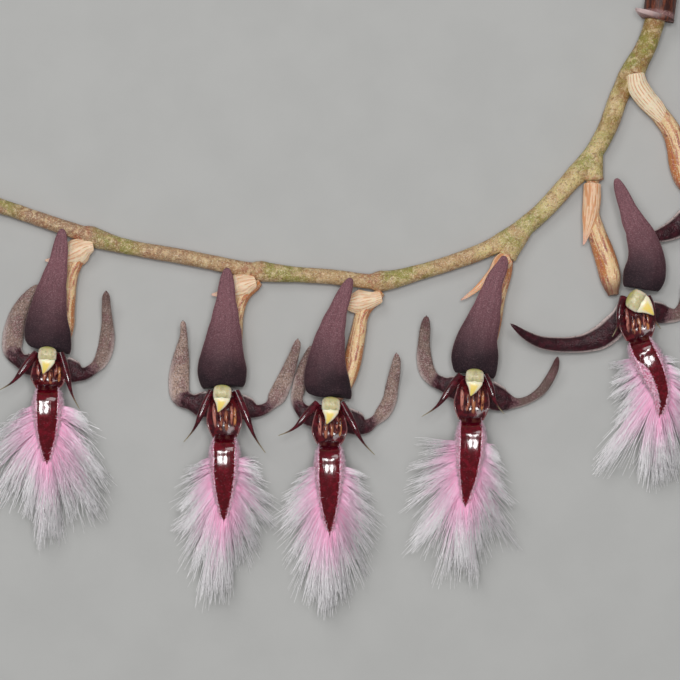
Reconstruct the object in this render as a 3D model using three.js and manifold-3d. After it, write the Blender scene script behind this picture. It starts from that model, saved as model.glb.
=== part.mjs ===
// A flowering raceme of a bulbophyllum orchid, cut and laid down with its flowers facing up.
// Millimetres, +Z up. The surface it lies on is z = 0.

import * as THREE from "three";
import { mergeVertices } from "three/addons/utils/BufferGeometryUtils.js";
import Module from "manifold-3d";

const wasm = await Module();
wasm.setup();

// ---- driving dimensions ------------------------------------------------------------------

const GAP = 0.3; // between pieces that touch on the plant
const STEM_HEIGHT = 0.98; // the stem's middle above the surface
const OLD_STEM_HEIGHT = 1.15; // and where the stem is older
const SHEATH_HEIGHT = 1.7; // the stem's middle where the sheath wraps it
const NODE_SWELLING = 0.32; // added to the radius at each node
const FORK_SWELLING = 0.1; // and at a node with a stub
const NODE_SWELLING_OLD_SIDE = 4.5; // how far the swelling fades towards the cut end
const NODE_SWELLING_YOUNG_SIDE = 1.3; // and towards the young end
const STUB_RADIUS = 0.98;
const STUB_START = 2.6; // from the node, along the older stem
const STEM_RADIUS_SHEATHED = 0.8; // inside the sheath
const SHEATH_RADIUS = 1.42; // to the middle of the sheath's wall

const BUD_STALK_RADIUS = 0.7;
const OVARY_HEIGHT = 0.98; // the ovary's middle above the surface
const OVARY_END_HEIGHT = 1.3; // where it turns up to the flower
const STALK_START = 1.66; // a stalk's end from the stem's middle
const STALK_END_TAPER = 0.75; // of its radius, at its start

const BRACT_HALF_THICKNESS = 0.3;
const BRACT_HEIGHT = 2.36;
const BRACT_TIP_DROP = 0.5;
const BRACT_ROLL = 0.7; // how far a bract's margins bend down, radians
const BRACT_LEAST_HALF_WIDTH = 0.14;
const SEPAL_HALF_THICKNESS = 0.34;
const SEPAL_START_HEIGHT = 1.48; // a lateral sepal's start, under the foot
const SEPAL_LEAST_HALF_WIDTH = 0.15;

const DORSAL_ROLL = 0.55; // how far the dorsal sepal's margins bend back, radians
// The dorsal sepal's half width: share of its length, share of its greatest half width.
const DORSAL_WIDTHS = [
  [0, 0.82], [0.037, 0.93], [0.107, 1], [0.18, 0.96], [0.27, 0.858], [0.369, 0.75], [0.5, 0.63],
  [0.543, 0.563], [0.636, 0.489], [0.73, 0.378], [0.825, 0.327], [0.92, 0.245], [1, 0.12],
];
const DORSAL_CORNER_SHARE = 0.14; // of its length, where its base corners start

const FOOT_HALF_WIDTH = 1.8;
const FOOT_HALF_THICKNESS = 0.5;
const FOOT_HEIGHT = 2.75;
const COLUMN_RADIUS = 0.66;
const CAP_HEIGHT = 4.65; // the anther cap's middle above the surface
const CAP_HALF_WIDTH = 0.86;
const CAP_HALF_THICKNESS = 0.42;
const PETAL_RADIUS = 0.4;
const PETAL_ROOT = [1.05, -0.25]; // from the foot's middle
const PETAL_BOW = [0.17, -0.08]; // of a petal's middle, out and down
const PETAL_RISE = 1.0; // of a petal's middle above the foot's

const LIP_HALF_WIDTH = 1.5;
// The lip's height and its half width: share of its length, height or share of LIP_HALF_WIDTH.
const LIP_HEIGHTS = [[0.13, 4.25], [0.22, 4.46], [0.3, 4.53], [0.37, 4.5], [0.64, 4.0], [1, 2.9]];
const LIP_WIDTHS = [
  [0, 0.7], [0.1, 0.87], [0.25, 1], [0.395, 0.97], [0.538, 0.83], [0.68, 0.65], [0.825, 0.5], [1, 0.2],
];
const HAIR_RADIUS = 0.14; // at a hair's root
const HAIR_STATIONS = 9; // rows of hairs down each side of a lip
const HAIR_LAYERS = [0.45, 2.1, 3.7]; // heights that a row's hair tips reach
const FIRST_HAIR_PLACE = 0.34; // of the lip's length, from its hinge
const LAST_HAIR_PLACE = 0.97;
const LOWEST_HAIR_TIP = 0.25; // above the surface

// The middle of the whole raceme's outline, which becomes the part's own zero.
const MIDDLE = [-1.164, 6.316];

// The stem, from its young end to its cut end: x, y, height of its middle.
const STEM_ROUTE = [
  [-46.2, 14.4, STEM_HEIGHT],
  [-42.0, 14.9, STEM_HEIGHT],
  [-38.0, 14.5, STEM_HEIGHT],
  [-34.0, 13.4, STEM_HEIGHT],
  [-28.0, 11.4, STEM_HEIGHT],
  [-22.0, 9.5, STEM_HEIGHT],
  [-16.0, 8.4, STEM_HEIGHT],
  [-8.0, 6.9, STEM_HEIGHT],
  [-1.0, 6.35, STEM_HEIGHT],
  [4.0, 5.9, STEM_HEIGHT],
  [8.0, 6.8, STEM_HEIGHT],
  [14.0, 8.8, STEM_HEIGHT],
  [17.0, 10.3, STEM_HEIGHT],
  [20.0, 12.6, 1.05],
  [22.8, 15.6, OLD_STEM_HEIGHT],
  [25.2, 18.4, OLD_STEM_HEIGHT],
  [26.9, 21.4, OLD_STEM_HEIGHT],
  [28.0, 24.4, OLD_STEM_HEIGHT],
  [29.3, 27.0, 1.2],
  [30.6, 29.2, 1.45],
  [31.5, 31.8, SHEATH_HEIGHT],
  [32.3, 35.4, SHEATH_HEIGHT],
  [32.9, 39.6, SHEATH_HEIGHT],
];
// The stem's radius between its nodes: x, radius.
const STEM_RADII = [[-30, 0.74], [12, 0.76], [19, 0.96], [24, 0.93], [27, 0.93], [29.5, 1.0]];

// The sheath's own run along the stem, from the cut end to its mouth.
const SHEATH_ROUTE = [[32.7, 38.6], [32.35, 35.6], [32.1, 33.8], [31.85, 32.0]];
const SHEATH_MOUTH = [31.7, 32.6];

// Each open flower. `at` is the anther cap's middle; the sepals, foot, petals and lip are given
// from there, as seen from above. The node, stub, pedicel and bract are places on the raceme. A
// `stub` is the end of the older stem that the stalk comes out of, and how far from there the
// stalk starts. A third number at a point of a bract or lateral sepal is its half width there.
// `stalk` is the stalk's radius at its start and at the ovary. `corners` say how far the dorsal
// sepal's base reaches back at its left and right. `tip` is how high a lateral sepal's end
// stands. `cap` is the anther cap's offset, turn and size. Each side of the `brush` is a fan:
// pairs of how many degrees the hairs there droop, and how far they reach.
const FLOWERS = [
  {
    at: [-29.1, -1.9],
    node: [-25.0, 10.4],
    pedicel: [[-26.2, 8.2], [-26.95, 6.6], [-27.4, 3.6], [-27.7, 0.8], [-28.7, -1.2]],
    stalk: [0.7, 0.92],
    bract: [
      [-24.7, 9.5, 0.5], [-25.5, 9.3, 1], [-26.4, 8.8, 1.4], [-27.5, 8.3, 1.1], [-28.6, 8, 0.4],
      [-29.6, 8, 0.06],
    ],
    dorsal: [[0.05, 1], [-0.2, 3.2], [0.3, 6.8], [1, 9.8], [1.4, 13]],
    dorsalWidth: 2.45,
    corners: [-0.3, 1.0],
    leftSepal: {
      route: [
        [-1.2, -0.6, 1.2], [-2.1, -0.5, 1.15], [-3, -0.1, 0.8], [-3.8, 0.9, 1], [-3.8, 2.1, 1.1],
        [-3.5, 3.7, 1], [-2.9, 5.1, 0.85], [-2.1, 6.4, 0.55], [-1.2, 7.4, 0.25],
      ],
      tip: 1.6,
    },
    rightSepal: {
      route: [
        [1.3, -0.9, 1.3], [2.3, -1.25, 1.2], [3.3, -1.5, 0.7], [4.3, -1, 0.6], [5, -0.3, 0.75],
        [5.5, 0.9, 0.85], [5.7, 2.1, 0.8], [5.75, 3.4, 0.62], [5.7, 4.9, 0.5], [5.7, 6.2, 0.4],
        [5.7, 6.8, 0.2],
      ],
      tip: 2.6,
    },
    foot: 0,
    cap: [0.0, 0.0, 0.0, 1.06],
    petals: [[-4.9, -3.2], [3.05, -5]],
    lip: [[0, -3.2], [0, -5.2], [-0.15, -11.2]],
    brush: {
      left: [[6, 2.6], [24, 5.6], [40, 7], [62, 5.5], [86, 6], [98, 5.6]],
      right: [[8, 3], [33, 4.8], [39, 7], [50, 8], [80, 6.2], [96, 6]],
    },
    turn: 0,
  },
  {
    at: [-11.7, -5.7],
    node: [-8.0, 6.9],
    pedicel: [[-9.6, 4.6], [-10.35, 2.6], [-10.65, 0], [-11.5, -5]],
    stalk: [0.7, 0.92],
    bract: [
      [-8.4, 5.9, 0.5], [-9.1, 5.7, 1], [-10, 5.35, 1.4], [-11.2, 4.9, 0.9], [-12.2, 4.6, 0.28],
      [-12.9, 4.55, 0.05],
    ],
    dorsal: [[0, 1.15], [-0.1, 3.2], [0.2, 7], [0.45, 12.9]],
    dorsalWidth: 2.62,
    corners: [0.5, 0.5],
    leftSepal: {
      route: [
        [-1.2, -0.8, 1.4], [-2.2, -0.75, 1.3], [-3.3, -0.5, 0.85], [-4.3, 0.1, 1.05],
        [-4.5, 1.7, 1.1], [-4.35, 3.2, 0.95], [-4.15, 4.7, 0.65], [-3.95, 6.2, 0.38],
        [-4, 7.6, 0.28],
      ],
      tip: 2.8,
    },
    rightSepal: {
      route: [
        [1.3, -0.9, 1.35], [2.3, -1.15, 1.2], [3.4, -1.4, 0.65], [4.5, -1, 0.55], [5.35, 0, 0.95],
        [5.93, 1.2, 0.86], [6.48, 2.5, 0.72], [7, 3.9, 0.55], [7.4, 5.2, 0.4], [7.5, 5.8, 0.2],
      ],
      tip: 3.3,
    },
    foot: 0.1,
    cap: [0.0, 0.0, 0.0, 1.06],
    petals: [[-3.8, -4.5], [4.2, -5.6]],
    lip: [[0.2, -4.3], [0.2, -6.4], [0.1, -13.2]],
    brush: {
      left: [[14, 2.7], [30, 4.2], [40, 6], [51, 5.9], [70, 8.6], [82, 7.6], [97, 7.2]],
      right: [[8, 2.2], [32, 3.8], [38, 4.8], [61, 5.8], [84, 6.2], [98, 7]],
    },
    turn: 0,
  },
  {
    at: [-0.9, -6.9],
    node: [4.0, 5.9],
    pedicel: [[2.4, 2.9], [1.8, 0.3], [1.1, -2.8], [-0.4, -6.2]],
    stalk: [0.7, 0.92],
    bract: [
      [4.2, 4.3, 0.5], [3.2, 4.05, 0.8], [2, 3.8, 1.25], [1, 3.7, 0.9], [0, 3.75, 0.06],
    ],
    dorsal: [[0, 1.3], [-0.5, 3.2], [-0.1, 7], [0.75, 10], [2, 13.1]],
    dorsalWidth: 2.4,
    corners: [-0.5, 1.1],
    leftSepal: {
      route: [
        [-1.3, -0.8, 1.2], [-2.2, -0.6, 1.1], [-3, 0, 0.7], [-3.43, 0.9, 0.62], [-3.22, 2.2, 0.7],
        [-2.94, 3.4, 0.68], [-2.5, 4.9, 0.5], [-2, 6.3, 0.2],
      ],
      tip: 1.5,
    },
    rightSepal: {
      route: [
        [1.2, -1, 1.3], [2.3, -1.4, 1.25], [3.4, -1.75, 0.8], [4.4, -1.2, 0.55], [5.3, -0.3, 0.8],
        [5.9, 0.9, 0.75], [6.1, 2.1, 0.68], [6.35, 3.4, 0.6], [6.55, 4.7, 0.45], [6.55, 5.6, 0.2],
      ],
      tip: 2.6,
    },
    foot: -0.15,
    cap: [0.0, 0.0, 0.0, 1.06],
    petals: [[-5.2, -2.7], [4.3, -4.6]],
    lip: [[-0.15, -3.8], [-0.15, -6], [-0.15, -13.4]],
    brush: {
      left: [[20, 1.8], [28, 3.5], [38, 5.6], [68, 8.2], [84, 7.6], [98, 7]],
      right: [[12, 2], [21, 2.8], [37, 4.9], [58, 6.9], [74, 7.6], [84, 7.6], [98, 7.2]],
    },
    turn: 0,
  },
  {
    at: [13.4, -4.1],
    node: [16.2, 9.9],
    stub: [16.75, 8.5, 0.65],
    pedicel: [[16.6, 6.8], [15.9, 4.2], [15.2, 1], [13.8, -3.4]],
    stalk: [0.7, 0.92],
    bract: [
      [17, 8.3, 0.6], [16.3, 7.8, 0.9], [15.3, 6.7, 0.5], [13.9, 5.3, 0.28], [12.9, 4.5, 0.17],
      [12.1, 4, 0.05],
    ],
    bractStart: 2.55,
    dorsal: [
      [0.1, 1], [0.1, 2.6], [0.3, 4.1], [0.95, 6.1], [1.5, 8.1], [2.05, 10.1], [2.8, 11.6],
      [3, 12.5],
    ],
    dorsalWidth: 2.5,
    corners: [0.4, 1.05],
    leftSepal: {
      route: [
        [-1.4, -0.8, 1.25], [-2.2, -0.6, 1.15], [-3.1, -0.3, 0.75], [-4, 0.15, 0.75],
        [-4.65, 1, 0.85], [-4.93, 2.2, 0.8], [-4.98, 3.6, 0.64], [-4.87, 5.2, 0.55],
        [-4.75, 6.5, 0.28],
      ],
      tip: 2.6,
    },
    rightSepal: {
      route: [
        [1.2, -1.1, 1.4], [2.3, -1.7, 1.35], [3.4, -2.1, 0.95], [4.5, -2.2, 0.5],
        [5.6, -1.85, 0.42], [6.7, -1.1, 0.5], [7.5, 0, 0.5], [8.1, 1.2, 0.43], [8.4, 2.4, 0.2],
      ],
      tip: 2.0,
    },
    foot: -0.15,
    cap: [0.0, 0.0, 0.0, 1.06],
    petals: [[-5.2, -3.6], [2.9, -3.3]],
    lip: [[-0.35, -4.2], [-0.4, -6.2], [-1, -13.4]],
    brush: {
      left: [[3, 3.1], [13, 4.7], [31, 5.6], [60, 8.3], [77, 8.4], [84, 7.5], [98, 7]],
      right: [[10, 1.6], [27, 2.6], [36, 3.9], [58, 6.5], [73, 6.2], [84, 6.6], [98, 7]],
    },
    turn: 0,
  },
  {
    at: [30.4, 3.7],
    node: [23.7, 16.6],
    stub: [25.4, 16.2, 0.4],
    pedicel: [[25.3, 14.4], [25.35, 12.6], [25.9, 10.6], [26.95, 7.4], [27.45, 4.5]],
    stalk: [0.7, 1.08],
    bract: [
      [25.3, 15.6, 0.85], [25.25, 14, 0.88], [25.1, 12.4, 0.8], [24.85, 11.2, 0.5],
      [24.6, 10.2, 0.22], [24.4, 9.5, 0.05],
    ],
    dorsal: [
      [-0.25, 1.4], [0.1, 3.1], [0.2, 4.1], [0.04, 5.4], [-0.6, 7.2], [-1.16, 8.2], [-2, 10.2],
      [-2.9, 12.4],
    ],
    dorsalWidth: 2.25,
    corners: [0.3, 0.1],
    leftSepal: {
      route: [
        [-1.9, 0.3, 0.5], [-2.35, -1.2, 0.9], [-3.1, -2.5, 1.3], [-4.2, -3.4, 1.25],
        [-5.6, -3.95, 1], [-7, -4.15, 0.85], [-8.7, -4.15, 0.78], [-10.4, -3.9, 0.65],
        [-11.9, -3.2, 0.48], [-13.4, -2.1, 0.15],
      ],
      tip: 2.6,
    },
    rightSepal: {
      route: [
        [0.7, -0.8, 1.1], [1.6, -1, 1.1], [2.5, -1.2, 0.9], [3.4, -1.2, 0.7], [4.1, -0.6, 0.75],
        [4.3, 0.5, 0.62], [4, 1.8, 0.2],
      ],
      tip: 1.8,
    },
    foot: -0.9,
    cap: [-0.5, 0.0, 1.1, 1.25],
    petals: [[-3.2, -3.4], [1.5, -2.6]],
    lip: [[-0.6, -4], [0.55, -6.4], [1.6, -9.4], [1.35, -12.2]],
    brush: {
      left: [
        [10, 2], [39, 3.6], [44, 5.8], [52, 8.2], [61, 9], [72, 7.6], [84, 7], [96, 6.4],
      ],
      right: [[-8, 1.4], [20, 3.4], [45, 4.6], [65, 6], [82, 6.4], [97, 6.2]],
    },
    turn: 0.12,
  },
  {
    at: [38.4, 13.7],
    node: [28.9, 26.4],
    stub: [29.6, 26.9, 2.2],
    pedicel: [
      [30.7, 24.2], [32.1, 22.7], [33.3, 21], [33.8, 19.4], [34.1, 17.6], [34.7, 15.9],
      [35.8, 14.4],
    ],
    stalk: [0.9, 1.0],
    bract: [
      [29.55, 26.7, 0.85], [29.8, 25.5, 1.05], [30.6, 24.3, 1.05], [31.7, 23.1, 0.95],
      [32.6, 22, 0.6], [33.2, 21.1, 0.08],
    ],
    bractStart: 3.05,
    dorsal: [
      [0, 1.4], [0.2, 3.1], [0.2, 4.1], [0, 5.4], [-0.5, 7.2], [-0.9, 8.2], [-1.5, 10.2],
      [-2.2, 12.4],
    ],
    dorsalWidth: 2.15,
    corners: [0.3, 0.1],
    leftSepal: {
      route: [
        [-1.9, 0.3, 0.5], [-2.4, -0.6, 1], [-3.4, -1.5, 1.3], [-4.4, -2.3, 1.15],
        [-5.4, -2.85, 0.95], [-6.4, -3.2, 0.72], [-7.3, -3.3, 0.45], [-8, -3.2, 0.15],
      ],
      tip: 1.4,
    },
    rightSepal: {
      route: [
        [0.7, -0.8, 1.1], [1.6, -1, 1.1], [2.6, -1.2, 0.9], [3.6, -1, 0.7], [4.5, -0.1, 0.8],
        [4.9, 1.5, 0.62], [4.7, 3.2, 0.2],
      ],
      tip: 1.8,
    },
    foot: -0.9,
    cap: [-0.5, 0.0, 1.1, 1.25],
    petals: [[-3, -3.6], [1.6, -2.8]],
    lip: [[-0.6, -4], [0.45, -6.4], [1.3, -9.4], [1.1, -12.2]],
    brush: {
      left: [[15, 1.6], [40, 2], [62, 3.4], [84, 5.4], [96, 5.2]],
      right: [[5, 1.6], [25, 3.2], [45, 4.4], [65, 5.4], [84, 5.6], [97, 5.6]],
    },
    turn: 0.12,
  },
];

// The closed buds at the young end: pedicel and bract as above, `tip` is where the bud points.
const BUDS = [
  {
    node: [-37.3, 14.4],
    pedicel: [[-38.5, 10.6], [-38.9, 8.6]],
    bract: [[-38.6, 12.5, 0.7], [-39.5, 11.2, 0.75], [-40.2, 9.7, 0.08]],
    tip: [-39.4, 1.4],
    halfWidth: 1.45,
  },
  {
    node: [-42.9, 14.9],
    pedicel: [[-43.9, 11.9], [-44.2, 10.6]],
    bract: [[-44.2, 13.3, 0.7], [-44.9, 12.2, 0.7], [-45.4, 10.9, 0.08]],
    tip: [-44.4, 6.0],
    halfWidth: 1.1,
  },
];

// ---- finishes ----------------------------------------------------------------------------

function finish(color, roughness) {
  return new THREE.MeshStandardMaterial({ color, roughness, metalness: 0 });
}

const FINISHES = {
  stem: finish(0xaf8e61, 0.6),
  sheath: finish(0x6b4a3c, 0.6),
  bract: finish(0xd1a781, 0.65),
  pedicel: finish(0xd8b596, 0.5),
  dorsal: finish(0x55394a, 0.75),
  lateral: finish(0x977e7b, 0.8),
  column: finish(0x6a2322, 0.3),
  cap: finish(0xdccb8e, 0.45),
  lip: finish(0x8a1b3a, 0.35),
  bud: finish(0x8a6258, 0.7),
};

// ---- helpers -----------------------------------------------------------------------------

/** Random numbers from 0 to 1 that come out alike each run. */
function seededRandom(seed) {
  let state = seed;
  return () => {
    state = (state * 1664525 + 1013904223) % 4294967296;
    return state / 4294967296;
  };
}

/** A function that runs straight between its stops (place, value) and stays level past them. */
function profile(...stops) {
  return (along) => {
    const place = THREE.MathUtils.clamp(along, stops[0][0], stops.at(-1)[0]);
    const next = Math.max(1, stops.findIndex(([stop]) => stop >= place));
    const [placeA, valueA] = stops[next - 1];
    const [placeB, valueB] = stops[next];
    return THREE.MathUtils.mapLinear(place, placeA, placeB, valueA, valueB);
  };
}

/** How far along a route each of its points lies, from 0 to 1, as seen from above. */
function sharesOf(route) {
  const walked = [0];
  route.slice(1).forEach(([x, y], i) => {
    walked.push(walked[i] + Math.hypot(x - route[i][0], y - route[i][1]));
  });
  return walked.map((length) => length / walked.at(-1));
}

/** A route's half width, its third number, as a function of the way along. */
function halfWidths(route) {
  return profile(...sharesOf(route).map((share, i) => [share, route[i][2]]));
}

/** The width of a leaf whose margins bend back and that is to look `looks` wide from above. */
function bentWidth(looks, roll) {
  return (along) => looks(along) * roll(along) / Math.sin(roll(along));
}

/** The corner-sharing, position-only copy of a geometry that solids are made from. */
function bare(geometry) {
  geometry.deleteAttribute("normal");
  geometry.deleteAttribute("uv");
  return mergeVertices(geometry, 1e-5);
}

/** A closed body whose corners go where place(along, deep, wide) says; it starts out 1 long in Y. */
function loft(startShape, place) {
  const body = bare(startShape);
  const corners = body.getAttribute("position");
  for (let i = 0; i < corners.count; i += 1) {
    const along = THREE.MathUtils.clamp(corners.getY(i) + 0.5, 0, 1);
    const spot = place(along, corners.getX(i), corners.getZ(i));
    corners.setXYZ(i, spot.x, spot.y, spot.z);
  }
  return body;
}

const UP = new THREE.Vector3(0, 0, 1);

/**
 * A leaf-like body along a smooth route. Its broad face looks up, `roll` is the angle that each
 * margin bends back by, and `sweep` moves the face on along the route. A round section is a
 * blade as thick as it is wide.
 */
function blade({
  route, halfWidth, halfThickness, roll = () => 0, sweep = () => 0, sides, steps, flat = 0.6,
}) {
  const curve = new THREE.CatmullRomCurve3(route, false, "centripetal");
  return loft(new THREE.CylinderGeometry(1, 1, 1, sides, steps), (along, deep, wide) => {
    const heading = curve.getTangentAt(along);
    const across = new THREE.Vector3().crossVectors(UP, heading).normalize();
    const outward = new THREE.Vector3().crossVectors(heading, across);
    const depth = Math.sign(deep) * Math.abs(deep) ** flat * halfThickness(along);
    const bend = roll(along);
    const width = halfWidth(along);
    let side = width * wide;
    let front = depth;
    if (bend !== 0) {
      const radius = width / bend;
      side = (radius + depth) * Math.sin(wide * bend);
      front = (radius + depth) * Math.cos(wide * bend) - radius;
    }
    return curve.getPointAt(along)
      .addScaledVector(across, side)
      .addScaledVector(outward, front)
      .addScaledVector(heading, sweep(along, wide));
  });
}

/** A round tapering body along a route. */
function tube(route, radius, sides, steps) {
  return blade({ route, halfWidth: radius, halfThickness: radius, sides, steps, flat: 1 });
}

/** A straight three-sided hair from root to tip. */
function hair(root, tip) {
  const length = root.distanceTo(tip);
  const cone = bare(new THREE.ConeGeometry(HAIR_RADIUS, length, 3, 1));
  cone.translate(0, length / 2, 0);
  const heading = tip.clone().sub(root).normalize();
  cone.applyQuaternion(new THREE.Quaternion().setFromUnitVectors(new THREE.Vector3(0, 1, 0), heading));
  cone.translate(root.x, root.y, root.z);
  return cone;
}

function toSolid(geometry) {
  return new wasm.Manifold(new wasm.Mesh({
    numProp: 3,
    vertProperties: geometry.getAttribute("position").array,
    triVerts: new Uint32Array(geometry.getIndex().array),
  }));
}

function toGeometry(solid) {
  const mesh = solid.getMesh();
  const geometry = new THREE.BufferGeometry();
  geometry.setAttribute("position", new THREE.BufferAttribute(mesh.vertProperties, 3));
  geometry.setIndex(new THREE.BufferAttribute(mesh.triVerts, 1));
  return geometry;
}

/** One solid of everything in the list. */
function fuse(geometries) {
  return toGeometry(geometries.map(toSolid).reduce((whole, piece) => whole.add(piece)));
}

/** The geometry with whatever reaches below the surface taken off flat. */
function restOnSurface(geometry) {
  const reach = 200; // more than the whole raceme
  const below = bare(new THREE.BoxGeometry(reach, reach, reach));
  below.translate(0, 0, -reach / 2);
  return toGeometry(toSolid(geometry).subtract(toSolid(below)));
}

// ---- the raceme --------------------------------------------------------------------------

const orchid = new THREE.Group();
const raceme = new THREE.Group();
raceme.position.set(-MIDDLE[0], -MIDDLE[1], 0);
orchid.add(raceme);

function addPiece(name, geometry, material) {
  const mesh = new THREE.Mesh(geometry, material);
  mesh.name = name;
  raceme.add(mesh);
}

function point(x, y, z) {
  return new THREE.Vector3(x, y, z);
}

const stemRoute = STEM_ROUTE.map(([x, y, z]) => point(x, y, z));
const stemCurve = new THREE.CatmullRomCurve3(stemRoute, false, "centripetal");

/** The stem with a swelling at each node, flat where it rests, and its stubs. */
function makeStem() {
  const length = stemCurve.getLength();
  const nodes = [...FLOWERS, ...BUDS].map(({ node, stub }) => ({
    place: nearestPlace(node),
    rise: stub ? FORK_SWELLING : NODE_SWELLING,
  }));
  const mouth = nearestPlace(SHEATH_MOUTH);
  const sheathed = (along) => THREE.MathUtils.smoothstep((along - mouth) * length, -2.8, -1.3);
  const plain = profile(...STEM_RADII);
  const radiusAt = (along) => {
    const swellings = nodes.map(({ place, rise }) => rise * nearness((along - place) * length));
    const taper = Math.min(1, 0.45 + along * 18);
    const radius = (plain(stemCurve.getPointAt(along).x) + Math.max(...swellings)) * taper;
    return THREE.MathUtils.lerp(radius, STEM_RADIUS_SHEATHED, sheathed(along));
  };
  const stubs = FLOWERS.filter(({ stub }) => stub).map((flower) => tube(
    stubEnds(flower),
    profile([0, 0.9 * STUB_RADIUS], [0.4, STUB_RADIUS], [1, STUB_RADIUS]),
    8,
    2,
  ));
  addPiece("stem", restOnSurface(fuse([tube(stemRoute, radiusAt, 8, 60), ...stubs])), FINISHES.stem);
}

/** The start, inside the older stem, and the end of the stub at a flower's node. */
function stubEnds({ node, stub }) {
  const fork = stemCurve.getPointAt(nearestPlace(node) + STUB_START / stemCurve.getLength());
  return [fork, point(stub[0], stub[1], fork.z)];
}

/** How far along the stem (0 to 1) it passes nearest a spot. */
function nearestPlace([x, y]) {
  const tries = 400;
  let best = 0;
  let shortest = Infinity;
  for (let i = 0; i <= tries; i += 1) {
    const spot = stemCurve.getPointAt(i / tries);
    const distance = Math.hypot(spot.x - x, spot.y - y);
    if (distance < shortest) {
      shortest = distance;
      best = i / tries;
    }
  }
  return best;
}

/** From 1 at a node to 0 where its swelling ends. A distance towards the cut end is positive. */
function nearness(distance) {
  const reach = distance > 0 ? NODE_SWELLING_OLD_SIDE : NODE_SWELLING_YOUNG_SIDE;
  return Math.max(0, 1 - Math.abs(distance) / reach) ** 1.4;
}

/** The sheath: a leaf rolled round the stem, with a free pointed tip at its mouth. */
function makeSheath() {
  const axis = new THREE.CatmullRomCurve3(SHEATH_ROUTE.map(([x, y]) => point(x, y, SHEATH_HEIGHT)));
  const halfTurn = profile([0, 2.6], [0.84, 2.6], [0.92, 1.4], [1, 0.2]);
  const flare = profile([0, 0], [0.84, 0], [1, 0.5]);
  const lean = profile([0, 0], [0.8, 0], [1, -1.2]);
  const halfThickness = profile([0, 0.24], [0.85, 0.24], [1, 0.14]);
  const strip = new THREE.BoxGeometry(2, 1, 2, 1, 14, 10);
  addPiece("sheath", loft(strip, (along, deep, wide) => {
    const heading = axis.getTangentAt(along);
    const across = new THREE.Vector3().crossVectors(UP, heading).normalize();
    const outward = new THREE.Vector3().crossVectors(heading, across);
    const turn = lean(along) + wide * halfTurn(along);
    const radius = SHEATH_RADIUS + flare(along) + deep * halfThickness(along);
    return axis.getPointAt(along)
      .addScaledVector(across, radius * Math.sin(turn))
      .addScaledVector(outward, radius * Math.cos(turn));
  }), FINISHES.sheath);
}

/**
 * A stalk from its node on the stem, square to the stem at first, or from the stub there, then
 * through the route's points. A flower's swells into the ovary at its lower end.
 */
function makePedicel(name, part, [startRadius, ovaryRadius], endHeight) {
  const spots = part.pedicel.map(([x, y]) => point(x, y, OVARY_HEIGHT));
  spots.at(-1).z = endHeight;
  const radius = profile(
    [0, STALK_END_TAPER * startRadius],
    [0.12, startRadius],
    [0.25, startRadius],
    [0.65, ovaryRadius],
    [0.9, ovaryRadius],
    [1, ovaryRadius * 0.6],
  );
  const route = [stalkStart(part, spots[0], startRadius), ...spots];
  addPiece(name, restOnSurface(tube(route, radius, 8, 8)), FINISHES.pedicel);
}

/** Where a stalk starts: clear of the end of its stub, or else clear of the stem's side. */
function stalkStart({ node, stub }, first, radius) {
  if (stub) {
    const [x, y, distance] = stub;
    const end = point(x, y, OVARY_HEIGHT);
    return end.addScaledVector(first.clone().sub(end).normalize(), distance);
  }
  const place = nearestPlace(node);
  const middle = stemCurve.getPointAt(place).setZ(OVARY_HEIGHT);
  const heading = stemCurve.getTangentAt(place);
  const away = first.clone().sub(middle).normalize();
  const sideways = away.clone().addScaledVector(heading, -away.dot(heading)).normalize();
  return middle.addScaledVector(sideways, STALK_START + radius * Math.abs(away.dot(heading)));
}

/** The papery bract that clasps a stalk where it leaves the stem. */
function makeBract(name, { bract, bractStart = BRACT_HEIGHT }) {
  const shares = sharesOf(bract);
  const height = profile([0, bractStart], [0.6, bractStart], [1, bractStart - BRACT_TIP_DROP]);
  const looks = halfWidths(bract);
  const roll = () => BRACT_ROLL;
  addPiece(name, blade({
    route: bract.map(([x, y], i) => point(x, y, height(shares[i]))),
    halfWidth: bentWidth((along) => Math.max(looks(along), BRACT_LEAST_HALF_WIDTH), roll),
    halfThickness: profile([0, BRACT_HALF_THICKNESS], [0.7, BRACT_HALF_THICKNESS], [1, 0.14]),
    roll,
    sides: 8,
    steps: 7,
  }), FINISHES.bract);
}

/** A point of a flower, given from its anther cap. A turned flower's left side stands higher. */
function flowerPoint(flower, [x, y], z) {
  const lift = Math.max(0, -x * flower.turn);
  return point(flower.at[0] + x, flower.at[1] + y, z + lift);
}

/** The spot that lies a share of the way from one spot to the next. */
function between([fromX, fromY], [toX, toY], share) {
  return [THREE.MathUtils.lerp(fromX, toX, share), THREE.MathUtils.lerp(fromY, toY, share)];
}

/** The dorsal sepal: a spade-shaped hood with a square base that tapers to a blunt tip. */
function makeDorsalSepal(name, flower) {
  const height = profile([0, 2.6], [0.2, 3.2], [0.5, 3.35], [1, 3.3]);
  const shares = sharesOf(flower.dorsal);
  const widths = profile(...DORSAL_WIDTHS);
  const [leftCorner, rightCorner] = flower.corners;
  addPiece(name, blade({
    route: flower.dorsal.map((spot, i) => flowerPoint(flower, spot, height(shares[i]))),
    halfWidth: (along) => flower.dorsalWidth * widths(along),
    halfThickness: profile([0, 0.3], [0.2, SEPAL_HALF_THICKNESS], [0.9, 0.3], [1, 0.2]),
    roll: profile([0, 0.3], [0.15, DORSAL_ROLL], [1, 0.3]),
    sweep: (along, wide) => {
      const corner = wide > 0 ? leftCorner : rightCorner;
      return -corner * wide ** 2 * (1 - THREE.MathUtils.smoothstep(along, 0, DORSAL_CORNER_SHARE));
    },
    sides: 10,
    steps: 10,
  }), FINISHES.dorsal);
}

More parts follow.
